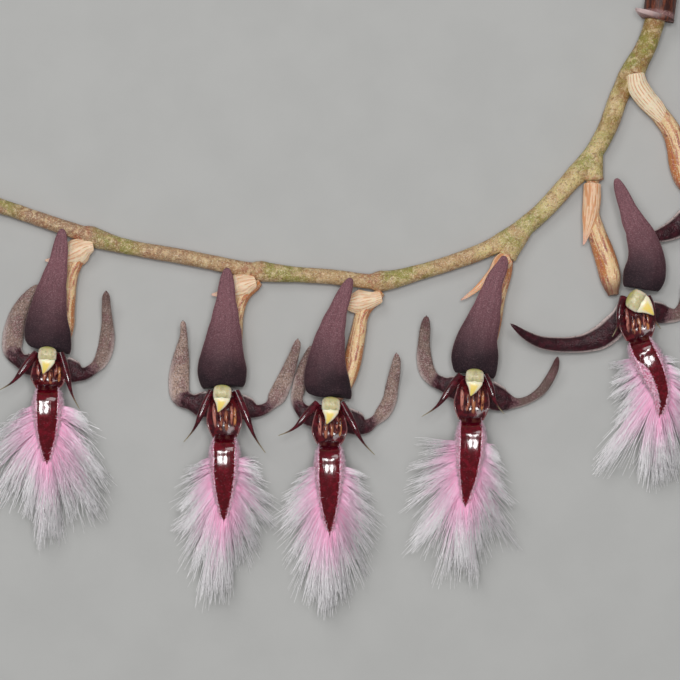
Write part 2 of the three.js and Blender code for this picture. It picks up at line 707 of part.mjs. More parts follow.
/** A lateral sepal: out from under the foot, down to the surface, then up into a horn. */
function makeLateralSepal(name, flower, { route, tip }) {
  const shares = sharesOf(route);
  const height = profile([0, SEPAL_START_HEIGHT], [0.2, 1.25], [0.42, 0.6], [0.6, 0.8], [1, tip]);
  const roll = profile([0, 0.1], [0.4, 0.7], [1, 0.9]);
  const halfThickness = profile([0, 0.3], [0.3, 0.38], [0.7, 0.4], [0.95, 0.32], [1, 0.2]);
  const looks = halfWidths(route);
  const atFace = (along) => {
    const width = looks(along) - 0.5 * halfThickness(along) * roll(along);
    return Math.max(width, SEPAL_LEAST_HALF_WIDTH);
  };
  addPiece(name, restOnSurface(blade({
    route: route.map((spot, i) => flowerPoint(flower, spot, height(shares[i]))),
    halfWidth: bentWidth(atFace, roll),
    halfThickness,
    roll,
    sides: 8,
    steps: 11,
  })), FINISHES.lateral);
}

/** The column, its foot and the two needle-like petals, which hold together as one body. */
function makeColumn(name, flower) {
  const { foot: footX, cap: [capX] } = flower;
  const [lipX, lipY] = flower.lip[0];
  const foot = blade({
    route: [
      flowerPoint(flower, [footX, 0.2], FOOT_HEIGHT),
      flowerPoint(flower, between([footX, 0], [lipX, lipY], 0.4), FOOT_HEIGHT),
      flowerPoint(flower, [lipX, lipY + GAP + 0.1], FOOT_HEIGHT + 0.2),
    ],
    halfWidth: profile(
      [0, 0.6 * FOOT_HALF_WIDTH],
      [0.3, 0.89 * FOOT_HALF_WIDTH],
      [0.6, FOOT_HALF_WIDTH],
      [0.8, 0.9 * FOOT_HALF_WIDTH],
      [1, 0.62 * FOOT_HALF_WIDTH],
    ),
    halfThickness: profile([0, 0.4], [0.3, FOOT_HALF_THICKNESS], [1, 0.4]),
    sides: 10,
    steps: 5,
  });
  const underCap = between([footX, -0.2], [capX, -0.2], 2 / 3);
  const column = tube([
    flowerPoint(flower, [footX, -0.15], FOOT_HEIGHT),
    flowerPoint(flower, underCap, CAP_HEIGHT - CAP_HALF_THICKNESS - GAP),
  ], () => COLUMN_RADIUS, 8, 2);
  const petals = flower.petals.map((tip) => {
    const side = Math.sign(tip[0] - footX);
    const root = [footX + side * PETAL_ROOT[0], PETAL_ROOT[1]];
    const [middleX, middleY] = between(root, tip, 0.5);
    const middle = [middleX + side * PETAL_BOW[0], middleY + PETAL_BOW[1]];
    return tube([
      flowerPoint(flower, root, FOOT_HEIGHT + 0.1),
      flowerPoint(flower, middle, FOOT_HEIGHT + PETAL_RISE),
      flowerPoint(flower, tip, FOOT_HEIGHT + PETAL_RISE - 0.1),
    ], profile([0, 0.9 * PETAL_RADIUS], [0.3, PETAL_RADIUS], [0.6, 0.3], [1, 0.1]), 5, 6);
  });
  addPiece(name, fuse([foot, column, ...petals]), FINISHES.column);
}

/** The anther cap: a pale hood that ends in a small beak. */
function makeAntherCap(name, flower) {
  const [capX, capY, turn, size] = flower.cap;
  const middle = new THREE.Vector2(capX, capY);
  const capPoint = (x, y, height) => {
    const spot = new THREE.Vector2(x, y).multiplyScalar(size).add(middle).rotateAround(middle, turn);
    return flowerPoint(flower, [spot.x, spot.y], CAP_HEIGHT + height);
  };
  const width = size * CAP_HALF_WIDTH;
  addPiece(name, blade({
    route: [
      capPoint(0.05, 1.15, -0.15),
      capPoint(0, 0.3, 0.05),
      capPoint(-0.12, -0.6, 0.02),
      capPoint(-0.4, -1.38, -0.1),
    ],
    halfWidth: profile(
      [0, 0.5 * width],
      [0.15, 0.85 * width],
      [0.55, width],
      [0.72, 0.65 * width],
      [1, 0.1],
    ),
    halfThickness: profile([0, 0.28], [0.3, CAP_HALF_THICKNESS], [0.7, 0.36], [1, 0.1]),
    sides: 8,
    steps: 6,
    flat: 0.8,
  }), FINISHES.cap);
}

/** The lip's line: up from the foot's end, forward, then down to its tip. */
function lipRoute(flower) {
  const [topX, topY] = flower.lip[0];
  const spots = flower.lip.map(([x, y]) => point(x, y, 0));
  const fromAbove = new THREE.CatmullRomCurve3(spots, false, "centripetal");
  return [
    flowerPoint(flower, [topX, topY - 0.25], FOOT_HEIGHT + 0.45),
    ...LIP_HEIGHTS.map(([share, height]) => {
      const { x, y } = fromAbove.getPointAt(share);
      return flowerPoint(flower, [x, y], height);
    }),
  ];
}

/** The lip: a wedge that knees forward and hangs, with a fan of hairs on each side. */
function makeLip(name, flower, seed) {
  const random = seededRandom(seed);
  const route = lipRoute(flower);
  const curve = new THREE.CatmullRomCurve3(route, false, "centripetal");
  const widths = profile(...LIP_WIDTHS);
  const halfWidth = (along) => LIP_HALF_WIDTH * widths(along);
  const body = blade({
    route,
    halfWidth,
    halfThickness: profile([0, 0.36], [0.3, 0.55], [0.6, 0.55], [1, 0.28]),
    sides: 8,
    steps: 8,
  });
  const hairs = [];
  for (let station = 0; station < HAIR_STATIONS; station += 1) {
    const share = station / (HAIR_STATIONS - 1);
    const place = THREE.MathUtils.lerp(FIRST_HAIR_PLACE, LAST_HAIR_PLACE, share);
    for (const side of [-1, 1]) {
      const fan = side < 0 ? flower.brush.left : flower.brush.right;
      const degrees = THREE.MathUtils.lerp(fan[0][0], fan.at(-1)[0], share);
      const reach = profile(...fan)(degrees);
      for (const height of HAIR_LAYERS) {
        const droop = THREE.MathUtils.degToRad(degrees) + 0.14 * (random() - 0.5);
        const length = reach * (0.84 + 0.16 * random());
        const edge = 0.5 * halfWidth(place) * side;
        const root = curve.getPointAt(place).add(point(edge, 0, -0.1));
        const end = root.clone().add(point(
          side * length * Math.cos(droop) + edge,
          -length * Math.sin(droop),
          0,
        ));
        end.z = Math.max(LOWEST_HAIR_TIP, height + 0.5 * random() - 0.6 * share);
        hairs.push(hair(root, end));
      }
    }
  }
  addPiece(name, fuse([body, ...hairs]), FINISHES.lip);
}

/** A closed bud that hangs from its stalk. */
function makeBud(name, bud) {
  const start = bud.pedicel.at(-1);
  const down = point(bud.tip[0] - start[0], bud.tip[1] - start[1], 0).normalize();
  const height = bud.halfWidth;
  const first = point(start[0], start[1], height).addScaledVector(down, GAP);
  addPiece(name, tube(
    [first, point(bud.tip[0], bud.tip[1], height)],
    profile(
      [0, 0.6],
      [0.15, bud.halfWidth],
      [0.45, 0.95 * bud.halfWidth],
      [0.8, 0.5 * bud.halfWidth],
      [1, 0.15],
    ),
    10,
    8,
  ), FINISHES.bud);
}

makeStem();
makeSheath();
FLOWERS.forEach((flower, index) => {
  const number = index + 1;
  makePedicel(`pedicel_${number}`, flower, flower.stalk, OVARY_END_HEIGHT);
  makeBract(`bract_${number}`, flower);
  makeDorsalSepal(`dorsal_sepal_${number}`, flower);
  makeLateralSepal(`left_sepal_${number}`, flower, flower.leftSepal);
  makeLateralSepal(`right_sepal_${number}`, flower, flower.rightSepal);
  makeColumn(`column_${number}`, flower);
  makeAntherCap(`anther_cap_${number}`, flower);
  makeLip(`lip_${number}`, flower, number);
});
BUDS.forEach((bud, index) => {
  const number = index + 1;
  makePedicel(`bud_pedicel_${number}`, bud, [BUD_STALK_RADIUS, BUD_STALK_RADIUS], OVARY_HEIGHT);
  makeBract(`bud_bract_${number}`, bud);
  makeBud(`bud_${number}`, bud);
});

export default orchid;
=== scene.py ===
"""A flowering raceme of a bulbophyllum orchid, lying on a surface with its flowers facing up.

Routes and sizes here are in millimetres: x and y as seen from above, z up from the surface.
Meshes are made in metres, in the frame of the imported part.
"""

import math

import bpy
import numpy as np
from bpy.props import FloatProperty, FloatVectorProperty, IntProperty, PointerProperty
from bpy.types import Operator, Panel, PropertyGroup
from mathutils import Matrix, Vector


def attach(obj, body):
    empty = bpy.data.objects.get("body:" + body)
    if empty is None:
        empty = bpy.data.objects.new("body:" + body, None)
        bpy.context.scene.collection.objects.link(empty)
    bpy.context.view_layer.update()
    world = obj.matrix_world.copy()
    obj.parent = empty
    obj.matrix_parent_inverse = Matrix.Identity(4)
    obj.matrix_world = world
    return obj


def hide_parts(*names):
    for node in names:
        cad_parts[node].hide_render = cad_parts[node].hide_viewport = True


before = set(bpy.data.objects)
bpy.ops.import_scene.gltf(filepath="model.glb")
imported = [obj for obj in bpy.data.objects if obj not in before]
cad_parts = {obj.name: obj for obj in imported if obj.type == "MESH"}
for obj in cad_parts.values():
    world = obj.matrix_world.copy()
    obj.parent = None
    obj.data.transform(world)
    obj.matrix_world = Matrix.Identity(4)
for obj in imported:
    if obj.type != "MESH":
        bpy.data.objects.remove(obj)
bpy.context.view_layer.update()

bl_info = {
    "name": "Bulbophyllum raceme",
    "version": (1, 0, 0),
    "blender": (4, 5, 0),
    "location": "3D View > Sidebar > Orchid",
    "description": "Builds the parts of a flowering bulbophyllum raceme round its solids",
    "category": "Add Mesh",
}

# ---- the raceme's places and sizes, in millimetres -----------------------------------------

MM = 0.001
UP = np.array([0.0, 0.0, 1.0])
MIDDLE = np.array([-1.164, 6.316, 0.0])  # of the whole raceme, which is the part's zero

STEM_HEIGHT = 0.98
OLD_STEM_HEIGHT = 1.15
SHEATH_HEIGHT = 1.7
# The stem's radius at places along it: x, radius.
STEM_RADII = [(-30.0, 0.74), (12.0, 0.76), (19.0, 0.96), (24.0, 0.93), (27.0, 0.93), (29.5, 1.0)]
STEM_RADIUS_SHEATHED = 1.02
NODE_SWELLING = 0.32
FORK_SWELLING = 0.1
NODE_SWELLING_OLD_SIDE = 4.5
NODE_SWELLING_YOUNG_SIDE = 1.3
STUB_RADIUS = 0.98
STUB_START = 2.6  # from the node, along the older stem
STUB_OVERHANG = 0.28  # of the stub's ragged end
SHEATH_RADIUS = 1.42
SHEATH_FLARE = 1.0
SHEATH_TIP_START = 0.86  # of the sheath's length, where its free tip begins

BUD_STALK_RADIUS = 0.7
OVARY_HEIGHT = 0.98
OVARY_END_HEIGHT = 1.3
STALK_START = 1.3  # of the solid stalk, from the stem's middle
STALK_SUNK = 0.6  # how much nearer to it this stalk starts
BRACT_HEIGHT = 1.95
BRACT_TIP_HEIGHT = 1.25

FOOT_HEIGHT = 2.75
COLUMN_RADIUS = 0.66
CAP_HEIGHT = 4.65
CAP_HALF_WIDTH = 0.86
PETAL_RADIUS = 0.42
LIP_HALF_WIDTH = 1.5
LIP_CHANNEL_CURVE = 5.0  # radius of the channel's hollow
LIP_FLATNESS = 0.35
BED_START = 0.26  # of the lip's length, where its hairs begin
BED_TOP = 4.3  # height that the uppermost hair tips reach
BED_LOW = 0.3  # height of the lowest ones

# How hairs draw together, as shares of a full-length hair.
TUFT_REACH = (0.66, 1.08)
TUFT_SPREAD = 0.17  # of the tufts' tips
HAIR_SPREAD = 0.09  # of the hairs' own tips
HAIR_SHARES = (0.3, 1.03)  # the shortest and the longest hair
BOUND_SHARE = 0.78  # of the hairs, which draw to their tuft
FREE_PULL = 0.16  # how far the other hairs do
HAIR_TAPER = 0.72  # how much thinner a hair's tip is than its root

# The sections and rough skins of the swept pieces, and the short hairs. Lengths are in metres,
# rib_depth is a share of the radius, and lean is how far a hair may tilt, in radians.
STEM_LOOK = {"sides": 40, "ribs": 0, "rib_depth": 0.0, "bump_size": 0.0005, "bump_height": 0.00009}
STALK_LOOK = {"sides": 36, "ribs": 3, "rib_depth": 0.05, "bump_size": 0.0008, "bump_height": 0.00009}
PETAL_LOOK = {"sides": 14, "ribs": 0, "rib_depth": 0.0, "bump_size": 0.0004, "bump_height": 0.00003}
BUD_LOOK = {"sides": 48, "ribs": 3, "rib_depth": 0.05, "bump_size": 0.0003, "bump_height": 0.00008}
SEPAL_DOWN_LEAN = 0.7
LIP_DOWN = {"spacing": 0.0001, "hair_length": 0.00035, "hair_radius": 0.000024, "lean": 0.9}
LOWEST_HAIR = 0.00008  # how near the surface a brush hair may come

FLOOR_SIDE = 3.0  # metres
SKY_STRENGTH = 0.14

# The stem, from its young end to its cut end: x, y, height of its middle.
STEM_ROUTE = [
    (-46.2, 14.4, STEM_HEIGHT), (-42.0, 14.9, STEM_HEIGHT), (-38.0, 14.5, STEM_HEIGHT),
    (-34.0, 13.4, STEM_HEIGHT), (-28.0, 11.4, STEM_HEIGHT), (-22.0, 9.5, STEM_HEIGHT),
    (-16.0, 8.4, STEM_HEIGHT), (-8.0, 6.9, STEM_HEIGHT), (-1.0, 6.35, STEM_HEIGHT),
    (4.0, 5.9, STEM_HEIGHT), (8.0, 6.8, STEM_HEIGHT), (14.0, 8.8, STEM_HEIGHT), (17.0, 10.3, STEM_HEIGHT),
    (20.0, 12.6, 1.05), (22.8, 15.6, OLD_STEM_HEIGHT), (25.2, 18.4, OLD_STEM_HEIGHT),
    (26.9, 21.4, OLD_STEM_HEIGHT), (28.0, 24.4, OLD_STEM_HEIGHT), (29.3, 27.0, 1.2), (30.6, 29.2, 1.45),
    (31.5, 31.8, SHEATH_HEIGHT), (32.3, 35.4, SHEATH_HEIGHT), (32.9, 39.6, SHEATH_HEIGHT),
]
SHEATH_ROUTE = [(32.7, 38.6), (32.35, 35.6), (32.1, 33.8), (31.85, 32.0)]
SHEATH_MOUTH = (31.7, 32.6)

# Each open flower; what it doesn't give is as in USUAL. `at` is the anther cap's middle, and the
# sepals, petals, foot and lip are given from there. A third number at a point of a bract or sepal
# is its half width there. `tip` is how high a lateral sepal's end stands. Each side of the brush
# is a fan: how many degrees its hairs droop, and how far they reach. `waviness` and `hang` say how
# its hairs curl and how far their tips sink. A `stub` is the end of the older stem that the stalk
# comes out of. `stalk` is the stalk's radius at its start and at the ovary. `cap` is the anther
# cap's offset, turn and size. `bract_start` is how high a bract starts that lies over a stub, and
# `bract_warmth` how far its paper turns from cream to orange.
USUAL = dict(foot=-0.15, cap=(0, 0, 0, 1.06), stalk=(0.7, 0.92), hang=0.3, turn=0)
FLOWERS = [USUAL | flower for flower in (
    dict(
        at=(-29.1, -1.9), node=(-25.0, 10.4), dorsal_width=2.45, corners=(-0.3, 1.0), foot=0,
        waviness=1.9, hang=1.3,
        pedicel=[(-26.2, 8.2), (-26.95, 6.6), (-27.4, 3.6), (-27.7, 0.8), (-28.7, -1.2)],
        bract=[
            (-24.7, 9.5, 0.5), (-25.5, 9.3, 1.0), (-26.4, 8.8, 1.4), (-27.5, 8.3, 1.1), (-28.6, 8.0, 0.4),
            (-29.6, 8.0, 0.06),
        ],
        dorsal=[(0.05, 1.0), (-0.2, 3.2), (0.3, 6.8), (1.0, 9.8), (1.4, 13.0)],
        left=dict(tip=1.6, pale=0.65, route=[
            (-1.2, -0.6, 1.2), (-2.1, -0.5, 1.15), (-3.0, -0.1, 0.8), (-3.8, 0.9, 1.0), (-3.8, 2.1, 1.1),
            (-3.5, 3.7, 1.0), (-2.9, 5.1, 0.85), (-2.1, 6.4, 0.55), (-1.2, 7.4, 0.25),
        ]),
        right=dict(tip=2.6, pale=0.5, route=[
            (1.3, -0.9, 1.3), (2.3, -1.25, 1.2), (3.3, -1.5, 0.7), (4.3, -1.0, 0.6), (5.0, -0.3, 0.75),
            (5.5, 0.9, 0.85), (5.7, 2.1, 0.8), (5.75, 3.4, 0.62), (5.7, 4.9, 0.5), (5.7, 6.2, 0.4),
            (5.7, 6.8, 0.2),
        ]),
        petals=[(-4.9, -3.2), (3.05, -5.0)],
        lip=[(0.0, -3.2), (0.0, -5.2), (-0.15, -11.2)],
        brush={
            -1: [(6, 2.6), (24, 5.6), (40, 7.0), (62, 5.5), (86, 6.0), (98, 5.6)],
            1: [(8, 3.0), (33, 4.8), (39, 7.0), (50, 8.0), (80, 6.2), (96, 6.0)],
        },
    ),
    dict(
        at=(-11.7, -5.7), node=(-8.0, 6.9), dorsal_width=2.62, corners=(0.5, 0.5), foot=0.1, waviness=0.9,
        pedicel=[(-9.6, 4.6), (-10.35, 2.6), (-10.65, 0.0), (-11.5, -5.0)],
        bract=[
            (-8.4, 5.9, 0.5), (-9.1, 5.7, 1.0), (-10.0, 5.35, 1.4), (-11.2, 4.9, 0.9), (-12.2, 4.6, 0.28),
            (-12.9, 4.55, 0.05),
        ],
        dorsal=[(0.0, 1.15), (-0.1, 3.2), (0.2, 7.0), (0.45, 12.9)],
        left=dict(tip=2.8, pale=1.0, route=[
            (-1.2, -0.8, 1.4), (-2.2, -0.75, 1.3), (-3.3, -0.5, 0.85), (-4.3, 0.1, 1.05),
            (-4.5, 1.7, 1.1), (-4.35, 3.2, 0.95), (-4.15, 4.7, 0.65), (-3.95, 6.2, 0.38),
            (-4.0, 7.6, 0.28),
        ]),
        right=dict(tip=3.3, pale=0.8, route=[
            (1.3, -0.9, 1.35), (2.3, -1.15, 1.2), (3.4, -1.4, 0.65), (4.5, -1.0, 0.55), (5.35, 0.0, 0.95),
            (5.93, 1.2, 0.86), (6.48, 2.5, 0.72), (7.0, 3.9, 0.55), (7.4, 5.2, 0.4), (7.5, 5.8, 0.2),
        ]),
        petals=[(-3.8, -4.5), (4.2, -5.6)],
        lip=[(0.2, -4.3), (0.2, -6.4), (0.1, -13.2)],
        brush={
            -1: [(14, 2.7), (30, 4.2), (40, 6.0), (51, 5.9), (70, 8.6), (82, 7.6), (97, 7.2)],
            1: [(8, 2.2), (32, 3.8), (38, 4.8), (61, 5.8), (84, 6.2), (98, 7.0)],
        },
    ),
    dict(
        at=(-0.9, -6.9), node=(4.0, 5.9), dorsal_width=2.4, corners=(-0.5, 1.1), waviness=0.8,
        pedicel=[(2.4, 2.9), (1.8, 0.3), (1.1, -2.8), (-0.4, -6.2)],
        bract=[(4.2, 4.3, 0.5), (3.2, 4.05, 0.8), (2.0, 3.8, 1.25), (1.0, 3.7, 0.9), (0.0, 3.75, 0.06)],
        dorsal=[(0.0, 1.3), (-0.5, 3.2), (-0.1, 7.0), (0.75, 10.0), (2.0, 13.1)],
        left=dict(tip=1.5, pale=0.55, route=[
            (-1.3, -0.8, 1.2), (-2.2, -0.6, 1.1), (-3.0, 0.0, 0.7), (-3.43, 0.9, 0.62), (-3.22, 2.2, 0.7),
            (-2.94, 3.4, 0.68), (-2.5, 4.9, 0.5), (-2.0, 6.3, 0.2),
        ]),
        right=dict(tip=2.6, pale=0.7, route=[
            (1.2, -1.0, 1.3), (2.3, -1.4, 1.25), (3.4, -1.75, 0.8), (4.4, -1.2, 0.55), (5.3, -0.3, 0.8),
            (5.9, 0.9, 0.75), (6.1, 2.1, 0.68), (6.35, 3.4, 0.6), (6.55, 4.7, 0.45), (6.55, 5.6, 0.2),
        ]),
        petals=[(-5.2, -2.7), (4.3, -4.6)],
        lip=[(-0.15, -3.8), (-0.15, -6.0), (-0.15, -13.4)],
        brush={
            -1: [(20, 1.8), (28, 3.5), (38, 5.6), (68, 8.2), (84, 7.6), (98, 7.0)],
            1: [(12, 2.0), (21, 2.8), (37, 4.9), (58, 6.9), (74, 7.6), (84, 7.6), (98, 7.2)],
        },
    ),
    dict(
        at=(13.4, -4.1), node=(16.2, 9.9), dorsal_width=2.5, corners=(0.4, 1.05), bract_start=2.2,
        bract_warmth=0.8, stub=(16.75, 8.5), waviness=0.8,
        pedicel=[(16.6, 6.8), (15.9, 4.2), (15.2, 1.0), (13.8, -3.4)],
        bract=[
            (17.0, 8.3, 0.6), (16.3, 7.8, 0.9), (15.3, 6.7, 0.5), (13.9, 5.3, 0.28), (12.9, 4.5, 0.17),
            (12.1, 4.0, 0.05),
        ],
        dorsal=[
            (0.1, 1.0), (0.1, 2.6), (0.3, 4.1), (0.95, 6.1), (1.5, 8.1), (2.05, 10.1), (2.8, 11.6),
            (3.0, 12.5),
        ],
        left=dict(tip=2.6, pale=0.5, route=[
            (-1.4, -0.8, 1.25), (-2.2, -0.6, 1.15), (-3.1, -0.3, 0.75), (-4.0, 0.15, 0.75),
            (-4.65, 1.0, 0.85), (-4.93, 2.2, 0.8), (-4.98, 3.6, 0.64), (-4.87, 5.2, 0.55),
            (-4.75, 6.5, 0.28),
        ]),
        right=dict(tip=2.0, pale=0.2, route=[
            (1.2, -1.1, 1.4), (2.3, -1.7, 1.35), (3.4, -2.1, 0.95), (4.5, -2.2, 0.5), (5.6, -1.85, 0.42),
            (6.7, -1.1, 0.5), (7.5, 0.0, 0.5), (8.1, 1.2, 0.43), (8.4, 2.4, 0.2),
        ]),
        petals=[(-5.2, -3.6), (2.9, -3.3)],
        lip=[(-0.35, -4.2), (-0.4, -6.2), (-1.0, -13.4)],
        brush={
            -1: [(3, 3.1), (13, 4.7), (31, 5.6), (60, 8.3), (77, 8.4), (84, 7.5), (98, 7.0)],
            1: [(10, 1.6), (27, 2.6), (36, 3.9), (58, 6.5), (73, 6.2), (84, 6.6), (98, 7.0)],
        },
    ),
    dict(
        at=(30.4, 3.7), node=(23.7, 16.6), dorsal_width=2.25, corners=(0.3, 0.1), foot=-0.9,
        cap=(-0.5, 0, 1.1, 1.25), stalk=(0.7, 1.08), bract_warmth=0.75, stub=(25.4, 16.2), waviness=0.7,
        turn=0.12,
        pedicel=[(25.3, 14.4), (25.35, 12.6), (25.9, 10.6), (26.95, 7.4), (27.45, 4.5)],
        bract=[
            (25.32, 15.8, 0.85), (25.25, 14.0, 0.88), (25.1, 12.4, 0.8), (24.85, 11.2, 0.5),
            (24.6, 10.2, 0.22), (24.4, 9.5, 0.05),
        ],
        dorsal=[
            (-0.25, 1.4), (0.1, 3.1), (0.2, 4.1), (0.04, 5.4), (-0.6, 7.2), (-1.16, 8.2), (-2.0, 10.2),
            (-2.9, 12.4),
        ],
        left=dict(tip=2.6, pale=0.2, route=[
            (-1.9, 0.3, 0.5), (-2.35, -1.2, 0.9), (-3.1, -2.5, 1.3), (-4.2, -3.4, 1.25),
            (-5.6, -3.95, 1.0), (-7.0, -4.15, 0.85), (-8.7, -4.15, 0.78), (-10.4, -3.9, 0.65),
            (-11.9, -3.2, 0.48), (-13.4, -2.1, 0.15),
        ]),
        right=dict(tip=1.8, pale=0.25, route=[
            (0.7, -0.8, 1.1), (1.6, -1.0, 1.1), (2.5, -1.2, 0.9), (3.4, -1.2, 0.7), (4.1, -0.6, 0.75),
            (4.3, 0.5, 0.62), (4.0, 1.8, 0.2),
        ]),
        petals=[(-3.2, -3.4), (1.5, -2.6)],
        lip=[(-0.6, -4.0), (0.55, -6.4), (1.6, -9.4), (1.35, -12.2)],
        brush={
            -1: [(10, 2.0), (39, 3.6), (44, 5.8), (52, 8.2), (61, 9.0), (72, 7.6), (84, 7.0), (96, 6.4)],
            1: [(-8, 1.4), (20, 3.4), (45, 4.6), (65, 6.0), (82, 6.4), (97, 6.2)],
        },
    ),
    dict(
        at=(38.4, 13.7), node=(28.9, 26.4), dorsal_width=2.15, corners=(0.3, 0.1), foot=-0.9,
        cap=(-0.5, 0, 1.1, 1.25), stalk=(0.9, 1.0), bract_start=2.7, bract_warmth=0.05, stub=(29.6, 26.9),
        waviness=0.7, turn=0.12,
        pedicel=[
            (30.7, 24.2), (32.1, 22.7), (33.3, 21.0), (33.8, 19.4), (34.1, 17.6), (34.7, 15.9),
            (35.8, 14.4),
        ],
        bract=[
            (29.55, 26.7, 0.85), (29.8, 25.5, 1.05), (30.6, 24.3, 1.05), (31.7, 23.1, 0.95),
            (32.6, 22.0, 0.6), (33.2, 21.1, 0.08),
        ],
        dorsal=[
            (0.0, 1.4), (0.2, 3.1), (0.2, 4.1), (0.0, 5.4), (-0.5, 7.2), (-0.9, 8.2), (-1.5, 10.2),
            (-2.2, 12.4),
        ],
        left=dict(tip=1.4, pale=0.2, route=[
            (-1.9, 0.3, 0.5), (-2.4, -0.6, 1.0), (-3.4, -1.5, 1.3), (-4.4, -2.3, 1.15),
            (-5.4, -2.85, 0.95), (-6.4, -3.2, 0.72), (-7.3, -3.3, 0.45), (-8.0, -3.2, 0.15),
        ]),
        right=dict(tip=1.8, pale=0.25, route=[
            (0.7, -0.8, 1.1), (1.6, -1.0, 1.1), (2.6, -1.2, 0.9), (3.6, -1.0, 0.7), (4.5, -0.1, 0.8),
            (4.9, 1.5, 0.62), (4.7, 3.2, 0.2),
        ]),
        petals=[(-3.0, -3.6), (1.6, -2.8)],
        lip=[(-0.6, -4.0), (0.45, -6.4), (1.3, -9.4), (1.1, -12.2)],
        brush={
            -1: [(15, 1.6), (40, 2.0), (62, 3.4), (84, 5.4), (96, 5.2)],
            1: [(5, 1.6), (25, 3.2), (45, 4.4), (65, 5.4), (84, 5.6), (97, 5.6)],
        },
    ),
)]

OPEN_FACED = (4, 5)  # the flowers whose left sepal shows its inner face

BUDS = [
    dict(
        node=(-37.3, 14.4), tip=(-39.4, 1.4), half_width=1.45,
        pedicel=[(-38.5, 10.6), (-38.9, 8.6)],
        bract=[(-38.6, 12.5, 0.7), (-39.5, 11.2, 0.75), (-40.2, 9.7, 0.08)],
    ),
    dict(
        node=(-42.9, 14.9), tip=(-44.4, 6.0), half_width=1.1,
        pedicel=[(-43.9, 11.9), (-44.2, 10.6)],
        bract=[(-44.2, 13.3, 0.7), (-44.9, 12.2, 0.7), (-45.4, 10.9, 0.08)],
    ),
]

# ---- what a user may change ------------------------------------------------------------------


def linear(red, green, blue):
    """The scene's colour for a screen colour of 0 to 255."""
    parts = [value / 255 for value in (red, green, blue)]
    bent = [p / 12.92 if p <= 0.04045 else ((p + 0.055) / 1.055) ** 2.4 for p in parts]
    return (*bent, 1.0)


def toned(shade, factor):
    """A colour made darker or paler."""
    return [min(1.0, factor * part) for part in shade[:3]] + [1.0]


def colour(name, description, *screen):
    return FloatVectorProperty(
        name=name, description=description, default=linear(*screen), size=4, subtype="COLOR", min=0, max=1
    )


def length(name, description, millimetres):
    return FloatProperty(
        name=name, description=description, default=millimetres * MM, min=0, unit="LENGTH", precision=5
    )


class RacemeColours(PropertyGroup):
    """The plant's colours."""

    stem_pink: colour("Stem pink", "The stem's youngest stretch", 158, 124, 98)
    stem_tan: colour("Stem tan", "The middle of the stem", 184, 152, 108)
    stem_cream: colour("Stem cream", "The stem near its older forks", 208, 188, 130)
    stem_olive: colour("Stem olive", "The stem's oldest stretch", 146, 120, 58)
    stem_green: colour("Stem green", "Patches near the stem's nodes", 140, 140, 58)
    # this rust also paints shade along the stem's underside near the floor
    stem_rust_and_shade: colour("Stem rust", "Edges of nodes and of stubs", 166, 100, 72)
    bract_cream: colour("Bract cream", "Ground colour of a bract", 248, 226, 196)
    bract_rust: colour("Bract rust", "Ribs and rim of a bract", 206, 132, 78)
    sheath_brown: colour("Sheath brown", "The sheath near the stem's base", 58, 28, 24)
    stalk_cream: colour("Stalk cream", "Pale bands of a flower's stalk", 230, 198, 150)
    stalk_orange: colour("Stalk orange", "Warm bands of a flower's stalk", 194, 126, 74)
    stalk_pink: colour("Stalk pink", "Pink grain of a flower's stalk", 172, 98, 82)
    stalk_maroon: colour("Stalk maroon", "The stalk where it meets the flower", 92, 50, 46)
    dorsal_mauve: colour("Dorsal mauve", "Upper part of the dorsal sepal", 124, 80, 88)
    dorsal_dark: colour("Dorsal dark", "Lower part of the dorsal sepal", 32, 16, 25)
    horn_tan: colour("Horn tan", "A pale lateral sepal's outer face", 176, 148, 134)
    horn_dark: colour("Horn dark", "A dark lateral sepal's outer face", 66, 40, 45)
    horn_frost: colour("Horn frost", "Pale crust and margins of a lateral sepal", 216, 198, 194)
    inner_maroon: colour("Inner maroon", "Inner face of a lateral sepal", 42, 8, 18)
    foot_maroon: colour("Foot maroon", "The column's foot and the petals", 58, 7, 18)
    foot_amber: colour("Foot amber", "Amber ridges of the column's foot", 204, 136, 82)
    foot_pink: colour("Foot pink", "Pink ridges of the column's foot", 196, 126, 116)
    petal_tip: colour("Petal tip", "Thin end of a petal", 150, 140, 110)
    cap_green: colour("Cap green", "Hood of the anther cap", 202, 192, 146)
    # painted highlight: the pale colour that whitens the hood's sides
    cap_side_highlight: colour("Cap white", "Sides of the anther cap", 236, 222, 206)
    cap_yellow: colour("Cap yellow", "Middle of the anther cap's beak", 248, 220, 120)
    lip_crimson: colour("Lip crimson", "Smooth face of the lip", 82, 0, 12)
    lip_pink: colour("Lip pink", "Downy sides of the lip", 206, 96, 136)
    hair_magenta: colour("Hair magenta", "A brush hair at its root", 255, 182, 218)
    hair_pink: colour("Hair pink", "A brush hair's lower half", 255, 216, 238)
    hair_white: colour("Hair white", "A brush hair's tip", 255, 252, 254)
    down_pale: colour("Down pale", "Short hairs on the sepals", 190, 168, 162)
    floor_grey: colour("Floor grey", "The surface that the raceme lies on", 178, 178, 176)


class RacemeSizes(PropertyGroup):
    """The sizes of the fine parts."""

    hair_count: IntProperty(name="Hairs", description="Hairs in each lip's brush", default=2900, min=50)
    tuft_count: IntProperty(name="Tufts", description="Tufts that hairs draw into", default=46, min=1)
    hair_radius: length("Hair radius", "Radius of a brush hair at its root", 0.038)
    tuft_pull: FloatProperty(
        name="Tuft pull", description="How far hair tips draw into tufts", default=0.9, min=0, max=1
    )
    down_spacing: length("Down spacing", "Distance between the short hairs of a sepal", 0.15)
    down_length: length("Down length", "Length of the short hairs of a sepal", 0.13)
    down_radius: length("Down radius", "Radius of a short hair at its root", 0.016)


# ---- lines and profiles ----------------------------------------------------------------------


